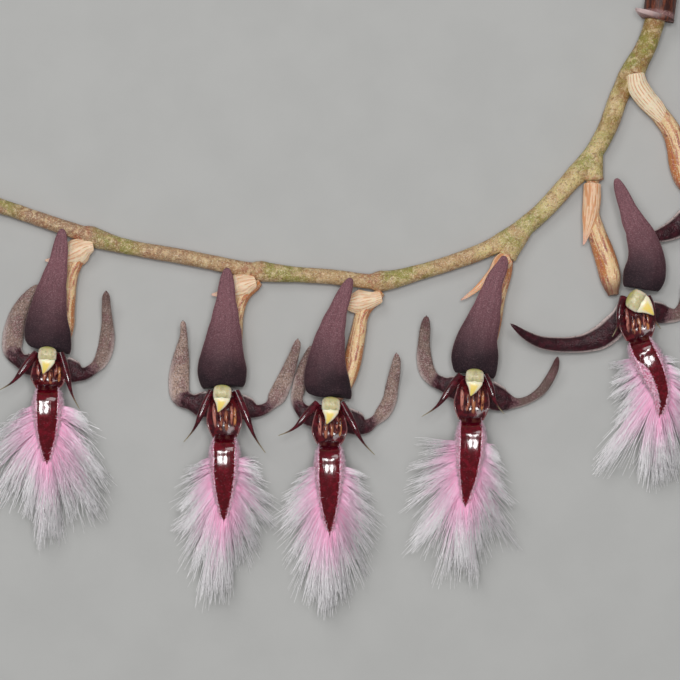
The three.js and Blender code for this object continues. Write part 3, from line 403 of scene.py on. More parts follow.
def smooth_line(spots, along):
    """Places and headings on a smooth line through the spots, at shares of its length."""
    spots = np.asarray(spots, float)
    padded = np.vstack([2 * spots[0] - spots[1], spots, 2 * spots[-1] - spots[-2]])
    share = np.linspace(0, 1, 24, endpoint=False)[:, None]
    fine = []
    for before, start, end, after in zip(padded, padded[1:], padded[2:], padded[3:]):
        gaps = (start - before, end - start, after - end)
        a, b, c = (max(np.linalg.norm(gap), 1e-9) ** 0.5 for gap in gaps)
        leaving = ((start - before) / a - (end - before) / (a + b) + (end - start) / b) * b
        arriving = ((end - start) / b - (after - start) / (b + c) + (after - end) / c) * b
        square = 3 * (end - start) - 2 * leaving - arriving
        cube = 2 * (start - end) + leaving + arriving
        fine.append(start + leaving * share + square * share**2 + cube * share**3)
    fine = np.vstack([*fine, spots[-1:]])
    walked = np.concatenate([[0], np.cumsum(np.linalg.norm(np.diff(fine, axis=0), axis=1))])
    wanted = np.asarray(along) * walked[-1]
    line = np.column_stack([np.interp(wanted, walked, column) for column in fine.T])
    reach = 0.01 * walked[-1]
    ahead = np.column_stack([np.interp(wanted + reach, walked, column) for column in fine.T])
    behind = np.column_stack([np.interp(wanted - reach, walked, column) for column in fine.T])
    heading = ahead - behind
    return line, heading / np.linalg.norm(heading, axis=1, keepdims=True)


def profile(*stops):
    """A smooth function of the way along a piece (0 to 1) through its (place, value) stops."""
    line, _ = smooth_line(stops, np.linspace(0, 1, 240))
    return lambda along: np.interp(along, line[:, 0], line[:, 1])


def smoothstep(low, high, value):
    share = np.clip((np.asarray(value) - low) / (high - low), 0, 1)
    return share * share * (3 - 2 * share)


def end_crowded(count):
    """Shares from 0 to 1 that lie closer together near both ends."""
    even = np.linspace(0, 1, count)
    return even - 0.62 * np.sin(2 * np.pi * even) / (2 * np.pi)


def rounded_ends(along, start, end):
    """A factor that rounds a piece off over its first `start` and last `end` shares."""
    into = np.minimum(np.clip(along / start, 0, 1), np.clip((1 - along) / end, 0, 1))
    return np.sqrt(1 - (1 - into) ** 2)


def waver(places, size, seed):
    """Smooth random values, about -1 to 1, that change over `size` millimetres."""
    draw = np.random.default_rng(seed)
    directions = draw.normal(size=(7, 3)) * 2.4 / size
    turns = draw.uniform(0, 2 * np.pi, 7)
    return np.sin(places @ directions.T + turns).mean(axis=-1) * 1.6


def face_waver(along, wide, size, seed):
    """waver over a leaf's face."""
    return waver(np.stack(np.broadcast_arrays(along, wide, 0.0), -1), size, seed)


def shares_walked(route):
    """How far along a route each of its spots lies, from 0 to 1, as seen from above."""
    walked = np.concatenate([[0], np.cumsum(np.hypot(*np.diff(np.array(route)[:, :2], axis=0).T))])
    return walked / walked[-1]


def half_widths(route):
    """A route's half width, its third number, as a function of the way along."""
    return profile(*zip(shares_walked(route), np.array(route)[:, 2]))


def across_and_outward(heading):
    """The level directions across a line, and those out of a leaf that lies along it."""
    across = np.cross(UP, heading)
    across /= np.linalg.norm(across, axis=1, keepdims=True)
    return across, np.cross(heading, across)


def bent_width(half_width, roll):
    """The width of a leaf whose margins are bent back and that is to look `half_width` wide."""
    return lambda along: half_width(along) * roll(along) / np.sin(roll(along))


STEM_SHARES = np.linspace(0, 1, 520)
STEM_LINE, STEM_HEADING = smooth_line(STEM_ROUTE, STEM_SHARES)
STEM_WALKED = STEM_SHARES * np.linalg.norm(np.diff(STEM_LINE, axis=0), axis=1).sum()


def nearest_on_stem(spot):
    """The index of the stem's point that is nearest to a spot, as seen from above."""
    return int(np.argmin(np.hypot(*(STEM_LINE[:, :2] - spot).T)))


def flower_point(flower, spot, height):
    """A point of a flower, given from its anther cap. A turned flower's left side stands higher."""
    x, y = spot
    lift = max(0.0, -x * flower["turn"])
    return (flower["at"][0] + x, flower["at"][1] + y, height + lift)


# ---- closed bodies ---------------------------------------------------------------------------


def ring_body(grid, values):
    """Corners, faces and named corner values of rings (steps, places, xyz) closed by two poles."""
    steps, places, _ = grid.shape
    corners = np.vstack([grid.reshape(-1, 3), grid[0].mean(axis=0), grid[-1].mean(axis=0)])
    start = np.arange(steps - 1)[:, None] * places
    here = np.arange(places)[None, :]
    beside = (here + 1) % places
    quads = [start + here, start + places + here, start + places + beside, start + beside]
    quads = np.stack(quads, axis=-1)
    last = (steps - 1) * places
    first_pole, last_pole = len(corners) - 2, len(corners) - 1
    first_fan = [(first_pole, int(a), int(b)) for a, b in zip(here[0], beside[0])]
    last_fan = [(last_pole, last + int(b), last + int(a)) for a, b in zip(here[0], beside[0])]
    named = {}
    for name, value in values.items():
        spread = np.broadcast_to(value, (steps, places))
        named[name] = np.concatenate([spread.ravel(), [spread[0].mean(), spread[-1].mean()]])
    return corners, [tuple(face) for face in quads.reshape(-1, 4).tolist()] + first_fan + last_fan, named


def joined(bodies):
    """Several bodies as one. A value that a body lacks is 0 there."""
    names = {name for _, _, named in bodies for name in named}
    corners, faces, start = [], [], 0
    values = {name: [] for name in sorted(names)}
    for body_corners, body_faces, named in bodies:
        corners.append(body_corners)
        faces += [tuple(corner + start for corner in face) for face in body_faces]
        for name, parts in values.items():
            parts.append(named.get(name, np.zeros(len(body_corners))))
        start += len(body_corners)
    return np.vstack(corners), faces, {name: np.concatenate(parts) for name, parts in values.items()}


def leaf(
    spots, half_width, half_thickness, roll=None, lean=None, relief=None, sweep=None,
    ring=40, steps=64, flat=0.6,
):
    """A leaf-like body along a smooth route, with its broad face up and its margins bent back.

    half_width, half_thickness, roll (how far a margin bends) and lean (how far the leaf turns
    round its route) are functions of the way along; relief (out of the face) and sweep (along
    the route) are functions of along and across.
    """
    along = end_crowded(steps)
    line, heading = smooth_line(spots, along)
    across, outward = across_and_outward(heading)
    if lean is not None:
        turn = lean(along)[:, None]
        across, outward = (
            across * np.cos(turn) + outward * np.sin(turn),
            outward * np.cos(turn) - across * np.sin(turn),
        )
    round_the_ring = np.linspace(0, 2 * np.pi, ring, endpoint=False)
    wide, deep = np.sin(round_the_ring), np.cos(round_the_ring)
    width = half_width(along)[:, None]
    thick = half_thickness(along)[:, None] * (np.sign(deep) * np.abs(deep) ** flat)
    bend = np.maximum(roll(along)[:, None] if roll else 0, 1e-4)
    radius = width / bend
    side = (radius + thick) * np.sin(wide * bend)
    front = (radius + thick) * np.cos(wide * bend) - radius
    if relief is not None:
        front = front + relief(along[:, None], wide[None, :])
    grid = line[:, None] + across[:, None] * side[..., None] + outward[:, None] * front[..., None]
    if sweep is not None:
        grid = grid + heading[:, None] * sweep(along[:, None], wide[None, :])[..., None]
    return ring_body(grid, {"along": along[:, None], "across": wide[None, :], "front": deep[None, :]})


def mark(body, **values):
    """Gives a body plain values, each the same at all its corners."""
    body[2].update({name: np.full(len(body[0]), float(value)) for name, value in values.items()})
    return body


def metre_mesh(name, places, edges, faces, values):
    """A mesh in metres of places in millimetres, with a number or vector for each under its name."""
    mesh = bpy.data.meshes.new(name)
    mesh.from_pydata(((places - MIDDLE) * MM).tolist(), edges, faces)
    for label, value in values.items():
        vector = np.ndim(value) == 2
        layer = mesh.attributes.new(label, "FLOAT_VECTOR" if vector else "FLOAT", "POINT")
        flat = np.ravel(value) if vector else np.broadcast_to(value, len(places))
        layer.data.foreach_set("vector" if vector else "value", flat.astype(np.float32))
    return mesh


def to_mesh(name, body):
    """A smooth-shaded mesh of a body."""
    corners, faces, values = body
    mesh = metre_mesh(name, corners, [], faces, values)
    mesh.shade_smooth()
    return mesh


def add_piece(mesh, slot, *nodes, material=None):
    """A finished piece, named as its mesh, that rides on the raceme and stands for its CAD nodes."""
    piece = bpy.data.objects.new(mesh.name, mesh)
    bpy.context.scene.collection.objects.link(piece)
    if material is not None:
        mesh.materials.append(material)
    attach(piece, "root")
    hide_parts(*nodes)
    return piece


# ---- node trees ------------------------------------------------------------------------------


def add(tree, kind, values=None, **settings):
    """A new node with its settings, and its inputs set or linked by name or number."""
    node = tree.nodes.new(kind)
    for name, value in settings.items():
        setattr(node, name, value)
    for key, value in (values or {}).items():
        if isinstance(value, bpy.types.NodeSocket):
            tree.links.new(value, node.inputs[key])
        else:
            node.inputs[key].default_value = value
    return node


def calc(tree, operation, *values):
    """The result of a Math node."""
    return add(tree, "ShaderNodeMath", dict(enumerate(values)), operation=operation).outputs[0]


def times(tree, first, second):
    return calc(tree, "MULTIPLY", first, second)


def combined(tree, x=0.0, y=0.0, z=0.0):
    """A vector from its three parts."""
    return add(tree, "ShaderNodeCombineXYZ", {0: x, 1: y, 2: z}).outputs[0]


def vector_calc(tree, operation, *values):
    """The result of a Vector Math node."""
    node = add(tree, "ShaderNodeVectorMath", dict(enumerate(values)), operation=operation)
    return node.outputs["Value" if operation == "LENGTH" else "Vector"]


def scaled(tree, vector, factor):
    node = add(tree, "ShaderNodeVectorMath", {0: vector, "Scale": factor}, operation="SCALE")
    return node.outputs["Vector"]


def stretch(tree, value, low, high, to_low=0.0, to_high=1.0):
    """The value moved smoothly from one range to another, and held at its ends."""
    inputs = {"Value": value, "From Min": low, "From Max": high, "To Min": to_low, "To Max": to_high}
    return add(tree, "ShaderNodeMapRange", inputs, interpolation_type="SMOOTHSTEP").outputs["Result"]


# ---- Geometry Nodes --------------------------------------------------------------------------


def geometry_tree(name, **sockets):
    """An empty Geometry Nodes tree: itself, what it is given, and where its result goes."""
    tree = bpy.data.node_groups.new(name, "GeometryNodeTree")
    tree.interface.new_socket("Geometry", in_out="INPUT", socket_type="NodeSocketGeometry")
    for label, kind in sockets.items():
        tree.interface.new_socket(label, in_out="INPUT", socket_type=f"NodeSocket{kind}")
    tree.interface.new_socket("Geometry", in_out="OUTPUT", socket_type="NodeSocketGeometry")
    return tree, add(tree, "NodeGroupInput").outputs, add(tree, "NodeGroupOutput").inputs["Geometry"]


def finish_tree(tree, geometry, material, result):
    """Ends a tree in smooth, realised geometry of one material."""
    geometry = add(tree, "GeometryNodeRealizeInstances", {"Geometry": geometry}).outputs[0]
    geometry = add(tree, "GeometryNodeSetShadeSmooth", {"Geometry": geometry}).outputs[0]
    node = add(tree, "GeometryNodeSetMaterial", {"Geometry": geometry, "Material": material})
    tree.links.new(node.outputs["Geometry"], result)
    return tree


def read(tree, name, kind="FLOAT"):
    node = add(tree, "GeometryNodeInputNamedAttribute", {"Name": name}, data_type=kind)
    return node.outputs["Attribute"]


def store(tree, geometry, name, value, kind="FLOAT"):
    inputs = {"Geometry": geometry, "Name": name, "Value": value}
    node = add(tree, "GeometryNodeStoreNamedAttribute", inputs, data_type=kind, domain="POINT")
    return node.outputs["Geometry"]


def random_number(tree, low, high, seed):
    node = add(tree, "FunctionNodeRandomValue", {2: low, 3: high, "Seed": seed}, data_type="FLOAT")
    return node.outputs[1]


def random_vector(tree, reach, seed):
    inputs = {0: (-reach,) * 3, 1: (reach,) * 3, "Seed": seed}
    return add(tree, "FunctionNodeRandomValue", inputs, data_type="FLOAT_VECTOR").outputs[0]


def moved(tree, geometry, offset):
    return add(tree, "GeometryNodeSetPosition", {"Geometry": geometry, "Offset": offset}).outputs[0]


def circle(tree, sides):
    inputs = {"Resolution": sides, "Radius": 1.0}
    return add(tree, "GeometryNodeCurvePrimitiveCircle", inputs).outputs["Curve"]


def swept(tree, line, section, size):
    """The section carried along the line, `size` times as large, with closed ends."""
    inputs = {"Curve": line, "Profile Curve": section, "Scale": size, "Fill Caps": True}
    return add(tree, "GeometryNodeCurveToMesh", inputs).outputs["Mesh"]


def scattered(tree, skin, density, seed):
    """Random points on a skin, and which way it faces there."""
    inputs = {"Mesh": skin, "Density": density, "Seed": seed}
    node = add(tree, "GeometryNodeDistributePointsOnFaces", inputs)
    return node.outputs["Points"], node.outputs["Rotation"]


def planted(tree, points, hair, turn, size):
    """A hair of its own at every point."""
    inputs = {"Points": points, "Instance": hair, "Rotation": turn, "Scale": size}
    hairs = add(tree, "GeometryNodeInstanceOnPoints", inputs).outputs["Instances"]
    return add(tree, "GeometryNodeRealizeInstances", {"Geometry": hairs}).outputs[0]


def kept_above_surface(tree, geometry, lowest):
    """The geometry with whatever would reach below `lowest` lifted to it."""
    place = add(tree, "GeometryNodeInputPosition").outputs[0]
    parts = add(tree, "ShaderNodeSeparateXYZ", {0: place}).outputs
    height = calc(tree, "MAXIMUM", parts["Z"], lowest)
    lifted = combined(tree, parts["X"], parts["Y"], height)
    return add(tree, "GeometryNodeSetPosition", {"Geometry": geometry, "Position": lifted}).outputs[0]


def stalk_tree():
    """Sweeps a round section of radius `thick` along a line of edges, with ribs and a rough skin."""
    tree, given, result = geometry_tree(
        "swept stalk",
        **{"Sides": "Int", "Ribs": "Int", "Rib depth": "Float"},
        **{"Bump size": "Float", "Bump height": "Float", "Material": "Material"},
    )
    line = add(tree, "GeometryNodeMeshToCurve", {"Mesh": given["Geometry"]}).outputs[0]
    line = add(tree, "GeometryNodeSetCurveNormal", {"Curve": line}, mode="Z_UP").outputs[0]
    turn = times(tree, add(tree, "GeometryNodeSplineParameter").outputs["Factor"], 2 * math.pi)
    section = store(tree, circle(tree, given["Sides"]), "turn", turn)
    body = swept(tree, line, section, read(tree, "thick"))
    turn = read(tree, "turn")
    rib = calc(tree, "COSINE", times(tree, turn, given["Ribs"]))
    body = store(tree, body, "rib", rib)
    body = store(tree, body, "sideways", calc(tree, "COSINE", turn))
    body = store(tree, body, "upwards", calc(tree, "SINE", turn))
    normal = add(tree, "GeometryNodeInputNormal").outputs["Normal"]
    ribbed = times(tree, times(tree, rib, given["Rib depth"]), read(tree, "ribbed"))
    rise = times(tree, ribbed, read(tree, "thick"))
    scale = calc(tree, "DIVIDE", 1.0, given["Bump size"])
    grain = add(tree, "ShaderNodeTexNoise", {"Scale": scale, "Detail": 3.0}).outputs["Fac"]
    bump = times(tree, calc(tree, "SUBTRACT", grain, 0.5), given["Bump height"])
    body = moved(tree, body, scaled(tree, normal, calc(tree, "ADD", rise, bump)))
    body = kept_above_surface(tree, body, 0.0)
    return finish_tree(tree, body, given["Material"], result)


def brush_tree():
    """Grows tapering hairs from a bed whose `comb` says where a full-length hair's tip goes.

    Most hair tips draw together with their nearest tuft's; the others stay free. All of them
    hang in the plant's own down direction and wave.
    """
    tree, given, result = geometry_tree(
        "brush of hairs",
        **{"Hair density": "Float", "Tuft density": "Float", "Seed": "Int", "Hair radius": "Float"},
        **{"Tuft pull": "Float", "Waviness": "Float", "Hang": "Float", "Material": "Material"},
    )
    bed, seed = given["Geometry"], given["Seed"]
    density = times(tree, given["Hair density"], read(tree, "crowding"))
    roots, _ = scattered(tree, bed, density, seed)
    tufts, _ = scattered(tree, bed, given["Tuft density"], seed)
    place = add(tree, "GeometryNodeInputPosition").outputs[0]
    comb = read(tree, "comb", "FLOAT_VECTOR")
    tuft_reach = scaled(tree, comb, random_number(tree, *TUFT_REACH, 17))
    sideways = scaled(tree, random_vector(tree, TUFT_SPREAD, 19), vector_calc(tree, "LENGTH", comb))
    tuft_tip = vector_calc(tree, "ADD", place, vector_calc(tree, "ADD", tuft_reach, sideways))
    tufts = store(tree, tufts, "tuft tip", tuft_tip, "FLOAT_VECTOR")
    nearest = add(tree, "GeometryNodeSampleNearest", {"Geometry": tufts, "Sample Position": place})
    tuft_tip = read(tree, "tuft tip", "FLOAT_VECTOR")
    inputs = {"Geometry": tufts, "Value": tuft_tip, "Index": nearest.outputs["Index"]}
    tuft_tip = add(tree, "GeometryNodeSampleIndex", inputs, data_type="FLOAT_VECTOR").outputs["Value"]
    share = calc(tree, "POWER", random_number(tree, 0.0, 1.0, 3), 0.5)
    shortest, longest = HAIR_SHARES
    inputs = {"Value": share, "To Min": shortest, "To Max": longest}
    share = add(tree, "ShaderNodeMapRange", inputs).outputs["Result"]
    stray = scaled(tree, random_vector(tree, HAIR_SPREAD, 5), vector_calc(tree, "LENGTH", comb))
    own = scaled(tree, vector_calc(tree, "ADD", comb, stray), share)
    gap = vector_calc(tree, "SUBTRACT", tuft_tip, vector_calc(tree, "ADD", place, comb))
    bound = calc(tree, "LESS_THAN", random_number(tree, 0.0, 1.0, 23), BOUND_SHARE)
    bound = stretch(tree, bound, 0.0, 1.0, FREE_PULL, 1.0)
    pull = scaled(tree, gap, times(tree, share, bound))
    points = store(tree, roots, "pull", pull, "FLOAT_VECTOR")
    points = store(tree, points, "reach", share)
    points = store(tree, points, "tone", random_number(tree, 0.0, 1.0, 7))
    points = store(tree, points, "free", calc(tree, "SUBTRACT", 1.0, bound))

    ends = {"Start": (0, 0, 0), "End": (0, 0, 1)}
    hair_line = add(tree, "GeometryNodeCurvePrimitiveLine", ends).outputs[0]
    hair_line = add(tree, "GeometryNodeResampleCurve", {"Curve": hair_line, "Count": 5}).outputs[0]
    along = add(tree, "GeometryNodeSplineParameter").outputs["Factor"]
    hair_line = store(tree, hair_line, "along", along)
    taper = calc(tree, "SUBTRACT", 1.0, times(tree, read(tree, "along"), HAIR_TAPER))
    hair = swept(tree, hair_line, circle(tree, 3), taper)

    turn = add(tree, "FunctionNodeAlignRotationToVector", {"Vector": own}, axis="Z").outputs["Rotation"]
    size = combined(tree, given["Hair radius"], given["Hair radius"], vector_calc(tree, "LENGTH", own))
    hairs = planted(tree, points, hair, turn, size)

    along = read(tree, "along")
    late = calc(tree, "POWER", along, 1.35)
    far = times(tree, along, read(tree, "reach"))
    drawn = scaled(tree, read(tree, "pull", "FLOAT_VECTOR"), times(tree, late, given["Tuft pull"]))
    own_wave = times(tree, read(tree, "tone"), 0.8)
    curl = calc(tree, "ADD", read(tree, "reach"), times(tree, read(tree, "free"), 1.6))
    noise = {"Scale": 560.0, "Detail": 2.0, "W": own_wave}
    wave = add(tree, "ShaderNodeTexNoise", noise, noise_dimensions="4D").outputs["Color"]
    wave = vector_calc(tree, "SUBTRACT", wave, (0.5, 0.5, 0.5))
    wave = scaled(tree, wave, times(tree, times(tree, late, curl), given["Waviness"]))
    drop = times(tree, times(tree, late, far), given["Hang"])
    drop = combined(tree, y=times(tree, drop, -1.0))
    offset = vector_calc(tree, "ADD", vector_calc(tree, "ADD", drawn, wave), drop)
    hairs = moved(tree, hairs, offset)
    hairs = store(tree, hairs, "far", far)
    hairs = kept_above_surface(tree, hairs, LOWEST_HAIR)
    return finish_tree(tree, hairs, given["Material"], result)


def down_tree():
    """Scatters short leaning hairs over a skin, as densely as its `fur` says."""
    tree, given, result = geometry_tree(
        "short hairs",
        **{"Spacing": "Float", "Hair length": "Float", "Hair radius": "Float", "Lean": "Float"},
        **{"Seed": "Int", "Material": "Material"},
    )
    density = calc(tree, "DIVIDE", 1.0, times(tree, given["Spacing"], given["Spacing"]))
    density = times(tree, density, read(tree, "fur"))
    points, facing = scattered(tree, given["Geometry"], density, given["Seed"])
    lean = scaled(tree, random_vector(tree, 1.0, 11), given["Lean"])
    lean = add(tree, "FunctionNodeEulerToRotation", {"Euler": lean}).outputs["Rotation"]
    inputs = {"Rotation": facing, "Rotate By": lean}
    turn = add(tree, "FunctionNodeRotateRotation", inputs, rotation_space="LOCAL").outputs["Rotation"]
    size = {"Radius Top": 0.0, "Radius Bottom": given["Hair radius"], "Depth": given["Hair length"]}
    cone = add(tree, "GeometryNodeMeshCone", {"Vertices": 3, **size}).outputs["Mesh"]
    size = combined(tree, 1.0, 1.0, random_number(tree, 0.45, 1.1, 13))
    hairs = planted(tree, points, cone, turn, size)
    hairs = kept_above_surface(tree, hairs, 0.0)
    return finish_tree(tree, hairs, given["Material"], result)


def grown(name, source, tree, **inputs):
    """The plain mesh that a Geometry Nodes tree makes of a source mesh."""
    maker = bpy.data.objects.new(name, source)
    bpy.context.scene.collection.objects.link(maker)
    modifier = maker.modifiers.new("Make", "NODES")
    modifier.node_group = tree
    given = {label.replace("_", " ").capitalize(): value for label, value in inputs.items()}
    for item in tree.interface.items_tree:
        if item.in_out == "INPUT" and item.name != "Geometry":
            modifier[item.identifier] = given[item.name]
    graph = bpy.context.evaluated_depsgraph_get()
    done = maker.evaluated_get(graph)
    mesh = bpy.data.meshes.new_from_object(done, preserve_all_data_layers=True, depsgraph=graph)
    bpy.data.objects.remove(maker)
    bpy.data.meshes.remove(source)
    mesh.name = name
    return mesh


def line_mesh(name, line, thick, runs=None, **values):
    """Lines of edges in metres, with radius and other values at each point.

    `runs` is how many of the points belong to each line; without it they all make one.
    """
    ends = set(np.cumsum(runs or [len(line)]))
    edges = [(i, i + 1) for i in range(len(line) - 1) if i + 1 not in ends]
    return metre_mesh(name, line, edges, [], {"thick": thick * MM, "ribbed": 0.0, **values})


# ---- materials -------------------------------------------------------------------------------


def shader_group(name, inputs, outputs):
    """An empty shader group with inputs (name, kind, default) and outputs (name, kind)."""
    tree = bpy.data.node_groups.new(name, "ShaderNodeTree")
    for label, kind, default in inputs:
        socket = tree.interface.new_socket(label, in_out="INPUT", socket_type=f"NodeSocket{kind}")
        if default is not None:
            socket.default_value = default
    for label, kind in outputs:
        tree.interface.new_socket(label, in_out="OUTPUT", socket_type=f"NodeSocket{kind}")
    return tree, add(tree, "NodeGroupInput").outputs, add(tree, "NodeGroupOutput").inputs


def speckle_group():
    """Random patches: a mask of 0 to 1 whose patches are about Size metres across."""
    tree, given, result = shader_group(
        "speckle",
        [
            ("Vector", "Vector", None), ("Size", "Float", 0.001), ("Low", "Float", 0.4),
            ("High", "Float", 0.6),
        ],
        [("Mask", "Float")],
    )
    scale = calc(tree, "DIVIDE", 1.0, given["Size"])
    noise = add(tree, "ShaderNodeTexNoise", {"Vector": given["Vector"], "Scale": scale, "Detail": 3.0})
    tree.links.new(stretch(tree, noise.outputs["Fac"], given["Low"], given["High"]), result["Mask"])
    return tree


def cells_group():
    """The low round cells of a plant's skin, as a normal."""
    tree, given, result = shader_group(
        "skin cells",
        [("Vector", "Vector", None), ("Size", "Float", 0.0002), ("Depth", "Float", 0.00003)],
        [("Normal", "Vector")],
    )
    inputs = {"Vector": given["Vector"], "Scale": calc(tree, "DIVIDE", 1.0, given["Size"])}
    cell = add(tree, "ShaderNodeTexVoronoi", inputs).outputs["Distance"]
    noise = add(tree, "ShaderNodeTexNoise", {**inputs, "Detail": 4.0})
    height = calc(tree, "SUBTRACT", noise.outputs["Fac"], times(tree, cell, 0.8))
    bump = add(tree, "ShaderNodeBump", {"Height": height, "Distance": given["Depth"], "Strength": 1.0})
    tree.links.new(bump.outputs["Normal"], result["Normal"])
    return tree


class Finish:
    """A material under construction, with its Principled shader and shared groups at hand."""

    def __init__(self, name, roughness, coat=(), sheen=(), beneath=()):
        """coat and sheen are weight and roughness; beneath is weight and scale of the light
        that spreads under the skin."""
        self.material = bpy.data.materials.new(name)
        self.material.use_nodes = True
        self.tree = self.material.node_tree
        self.shader = self.tree.nodes["Principled BSDF"]
        self.shader.inputs["Roughness"].default_value = roughness
        for labels, values in (
            (("Coat Weight", "Coat Roughness"), coat),
            (("Sheen Weight", "Sheen Roughness"), sheen),
            (("Subsurface Weight", "Subsurface Scale"), beneath),
        ):
            for label, value in zip(labels, values):
                self.shader.inputs[label].default_value = value
        self.place = add(self.tree, "ShaderNodeTexCoord").outputs["Object"]

    def value(self, name):
        """A corner value of the piece."""
        return add(self.tree, "ShaderNodeAttribute", attribute_name=name).outputs["Fac"]

    def mix(self, mask, under, over, strength=1.0):
        """Colour `over` laid on `under`, at most as strongly as given, where the mask is 1."""
        inputs = {0: mask if strength == 1.0 else self.times(mask, strength), 6: under, 7: over}
        return add(self.tree, "ShaderNodeMix", inputs, data_type="RGBA").outputs[2]

    def noise(self, vector, scale):
        """Smooth random values, about 0.5, over a place of its own."""
        inputs = {"Vector": vector, "Scale": scale, "Detail": 1.0}
        return add(self.tree, "ShaderNodeTexNoise", inputs).outputs["Fac"]

    def speckle(self, size, low, high, stretched=None):
        """Random patches about `size` millimetres across."""
        group = bpy.data.node_groups.get("speckle") or speckle_group()
        inputs = {"Vector": self.placed(stretched), "Size": size * MM, "Low": low, "High": high}
        return add(self.tree, "ShaderNodeGroup", inputs, node_tree=group).outputs["Mask"]

    def placed(self, stretched):
        """The place, or the place with its axes stretched."""
        if stretched is None:
            return self.place
        return add(self.tree, "ShaderNodeMapping", {"Vector": self.place, "Scale": stretched}).outputs[0]

    def cells(self, size, depth, stretched=None):
        """Gives the surface cells about `size` millimetres across."""
        group = bpy.data.node_groups.get("skin cells") or cells_group()
        inputs = {"Vector": self.placed(stretched), "Size": size * MM, "Depth": depth * MM}
        node = add(self.tree, "ShaderNodeGroup", inputs, node_tree=group)
        self.tree.links.new(node.outputs["Normal"], self.shader.inputs["Normal"])

    def paint(self, colour_socket):
        self.tree.links.new(colour_socket, self.shader.inputs["Base Color"])
        return self.material

    def roughen(self, mask, low, high):
        """Roughness that runs from low to high with the mask."""
        rough = stretch(self.tree, mask, 0.0, 1.0, low, high)
        self.tree.links.new(rough, self.shader.inputs["Roughness"])

    def stretch(self, value, low, high, to_low=0.0, to_high=1.0):
        return stretch(self.tree, value, low, high, to_low, to_high)

    def calc(self, operation, *values):
        return calc(self.tree, operation, *values)

    def times(self, first, second):
        return times(self.tree, first, second)


def colours():
    return bpy.context.scene.raceme_colours


def sizes():
    return bpy.context.scene.raceme_sizes


def stem_skin():
    """Pinkish brown, then tan, cream and olive with age, with pale grain and green patches."""
    c = colours()
    f = Finish("stem skin", 0.5, beneath=(0.1, 0.0006))
    age = f.calc("ADD", f.value("age"), f.stretch(f.speckle(2.6, 0.3, 0.7), 0.0, 1.0, -0.05, 0.05))
    skin = f.mix(f.stretch(age, 0.08, 0.5), c.stem_pink, c.stem_tan)
    skin = f.mix(f.stretch(age, 0.55, 0.68), skin, c.stem_cream)
    skin = f.mix(f.stretch(age, 0.78, 0.88), skin, c.stem_olive)
    skin = f.mix(f.speckle(1.1, 0.42, 0.6), skin, linear(160, 108, 76), 0.55)
    green = f.times(f.value("green"), f.speckle(1.6, 0.34, 0.56))
    skin = f.mix(green, skin, c.stem_green, 0.8)
    rim = f.times(f.value("rim"), f.speckle(0.7, 0.42, 0.58))
    skin = f.mix(rim, skin, c.stem_rust_and_shade)
    skin = f.mix(f.speckle(0.55, 0.5, 0.64), skin, linear(228, 206, 160), 0.5)
    grain = f.times(f.speckle(0.11, 0.5, 0.68), f.stretch(age, 0.7, 0.9, 0.6, 0.3))
    skin = f.mix(grain, skin, linear(238, 220, 190))
    skin = f.mix(f.speckle(0.26, 0.46, 0.36), skin, linear(116, 78, 54), 0.5)
    # painted shade: the stem turns darker rust towards its underside, near the floor
    height = add(f.tree, "ShaderNodeSeparateXYZ", {0: f.place}).outputs["Z"]
    skin = f.mix(f.stretch(height, 0.0012, 0.0003), skin, c.stem_rust_and_shade, 0.75)
    f.cells(0.2, 0.06)
    return f.paint(skin)


def stalk_skin():
    """Broad bands of cream, orange and pink, darkening to maroon at the flower."""
    c = colours()
    f = Finish("stalk skin", 0.42, beneath=(0.12, 0.0006))
    along = f.value("along")
    round_place = combined(f.tree, f.value("sideways"), f.value("upwards"), f.times(along, 1.4))
    band = f.noise(round_place, 1.5)
    thin = f.noise(round_place, 4.5)
    skin = f.mix(f.stretch(band, 0.4, 0.52), c.stalk_orange, c.stalk_cream)
    skin = f.mix(f.stretch(thin, 0.54, 0.62), skin, c.stalk_pink, 0.8)
    groove = f.times(f.stretch(f.calc("ABSOLUTE", f.calc("SUBTRACT", band, 0.46)), 0.02, 0.0), 0.6)
    skin = f.mix(groove, skin, c.stalk_maroon)
    skin = f.mix(f.speckle(0.2, 0.54, 0.66), skin, linear(206, 128, 110), 0.6)
    skin = f.mix(f.speckle(0.16, 0.56, 0.66), skin, linear(250, 234, 206), 0.5)
    skin = f.mix(f.stretch(along, 0.84, 0.98), skin, c.stalk_maroon, 0.8)
    f.cells(0.25, 0.03)
    return f.paint(skin)


def bract_paper():
    """Thin cream paper with fine rusty ribs and a rusty rim."""
    c = colours()
    f = Finish("bract paper", 0.5, beneath=(0.2, 0.0005))
    ribs = f.calc("COSINE", f.times(f.value("across"), 30.0))
    ribs = f.times(f.stretch(ribs, 0.0, 1.0), f.speckle(0.7, 0.34, 0.58))
    rim = f.times(f.stretch(f.calc("ABSOLUTE", f.value("across")), 0.8, 0.98), 0.7)
    strip = combined(f.tree, f.times(f.value("across"), 2.6), f.times(f.value("along"), 1.6))
    patch = f.times(f.stretch(f.noise(strip, 1.6), 0.48, 0.58), f.value("warm"))
    rust = f.calc("MAXIMUM", f.times(ribs, 0.7), f.calc("MAXIMUM", rim, patch))
    ground = f.mix(f.value("warm"), c.bract_cream, linear(226, 160, 116), 0.6)
    skin = f.mix(rust, ground, c.bract_rust)
    skin = f.mix(f.stretch(f.value("along"), 0.74, 0.98), skin, linear(240, 196, 184), 0.7)
    f.cells(0.3, 0.03)
    return f.paint(skin)


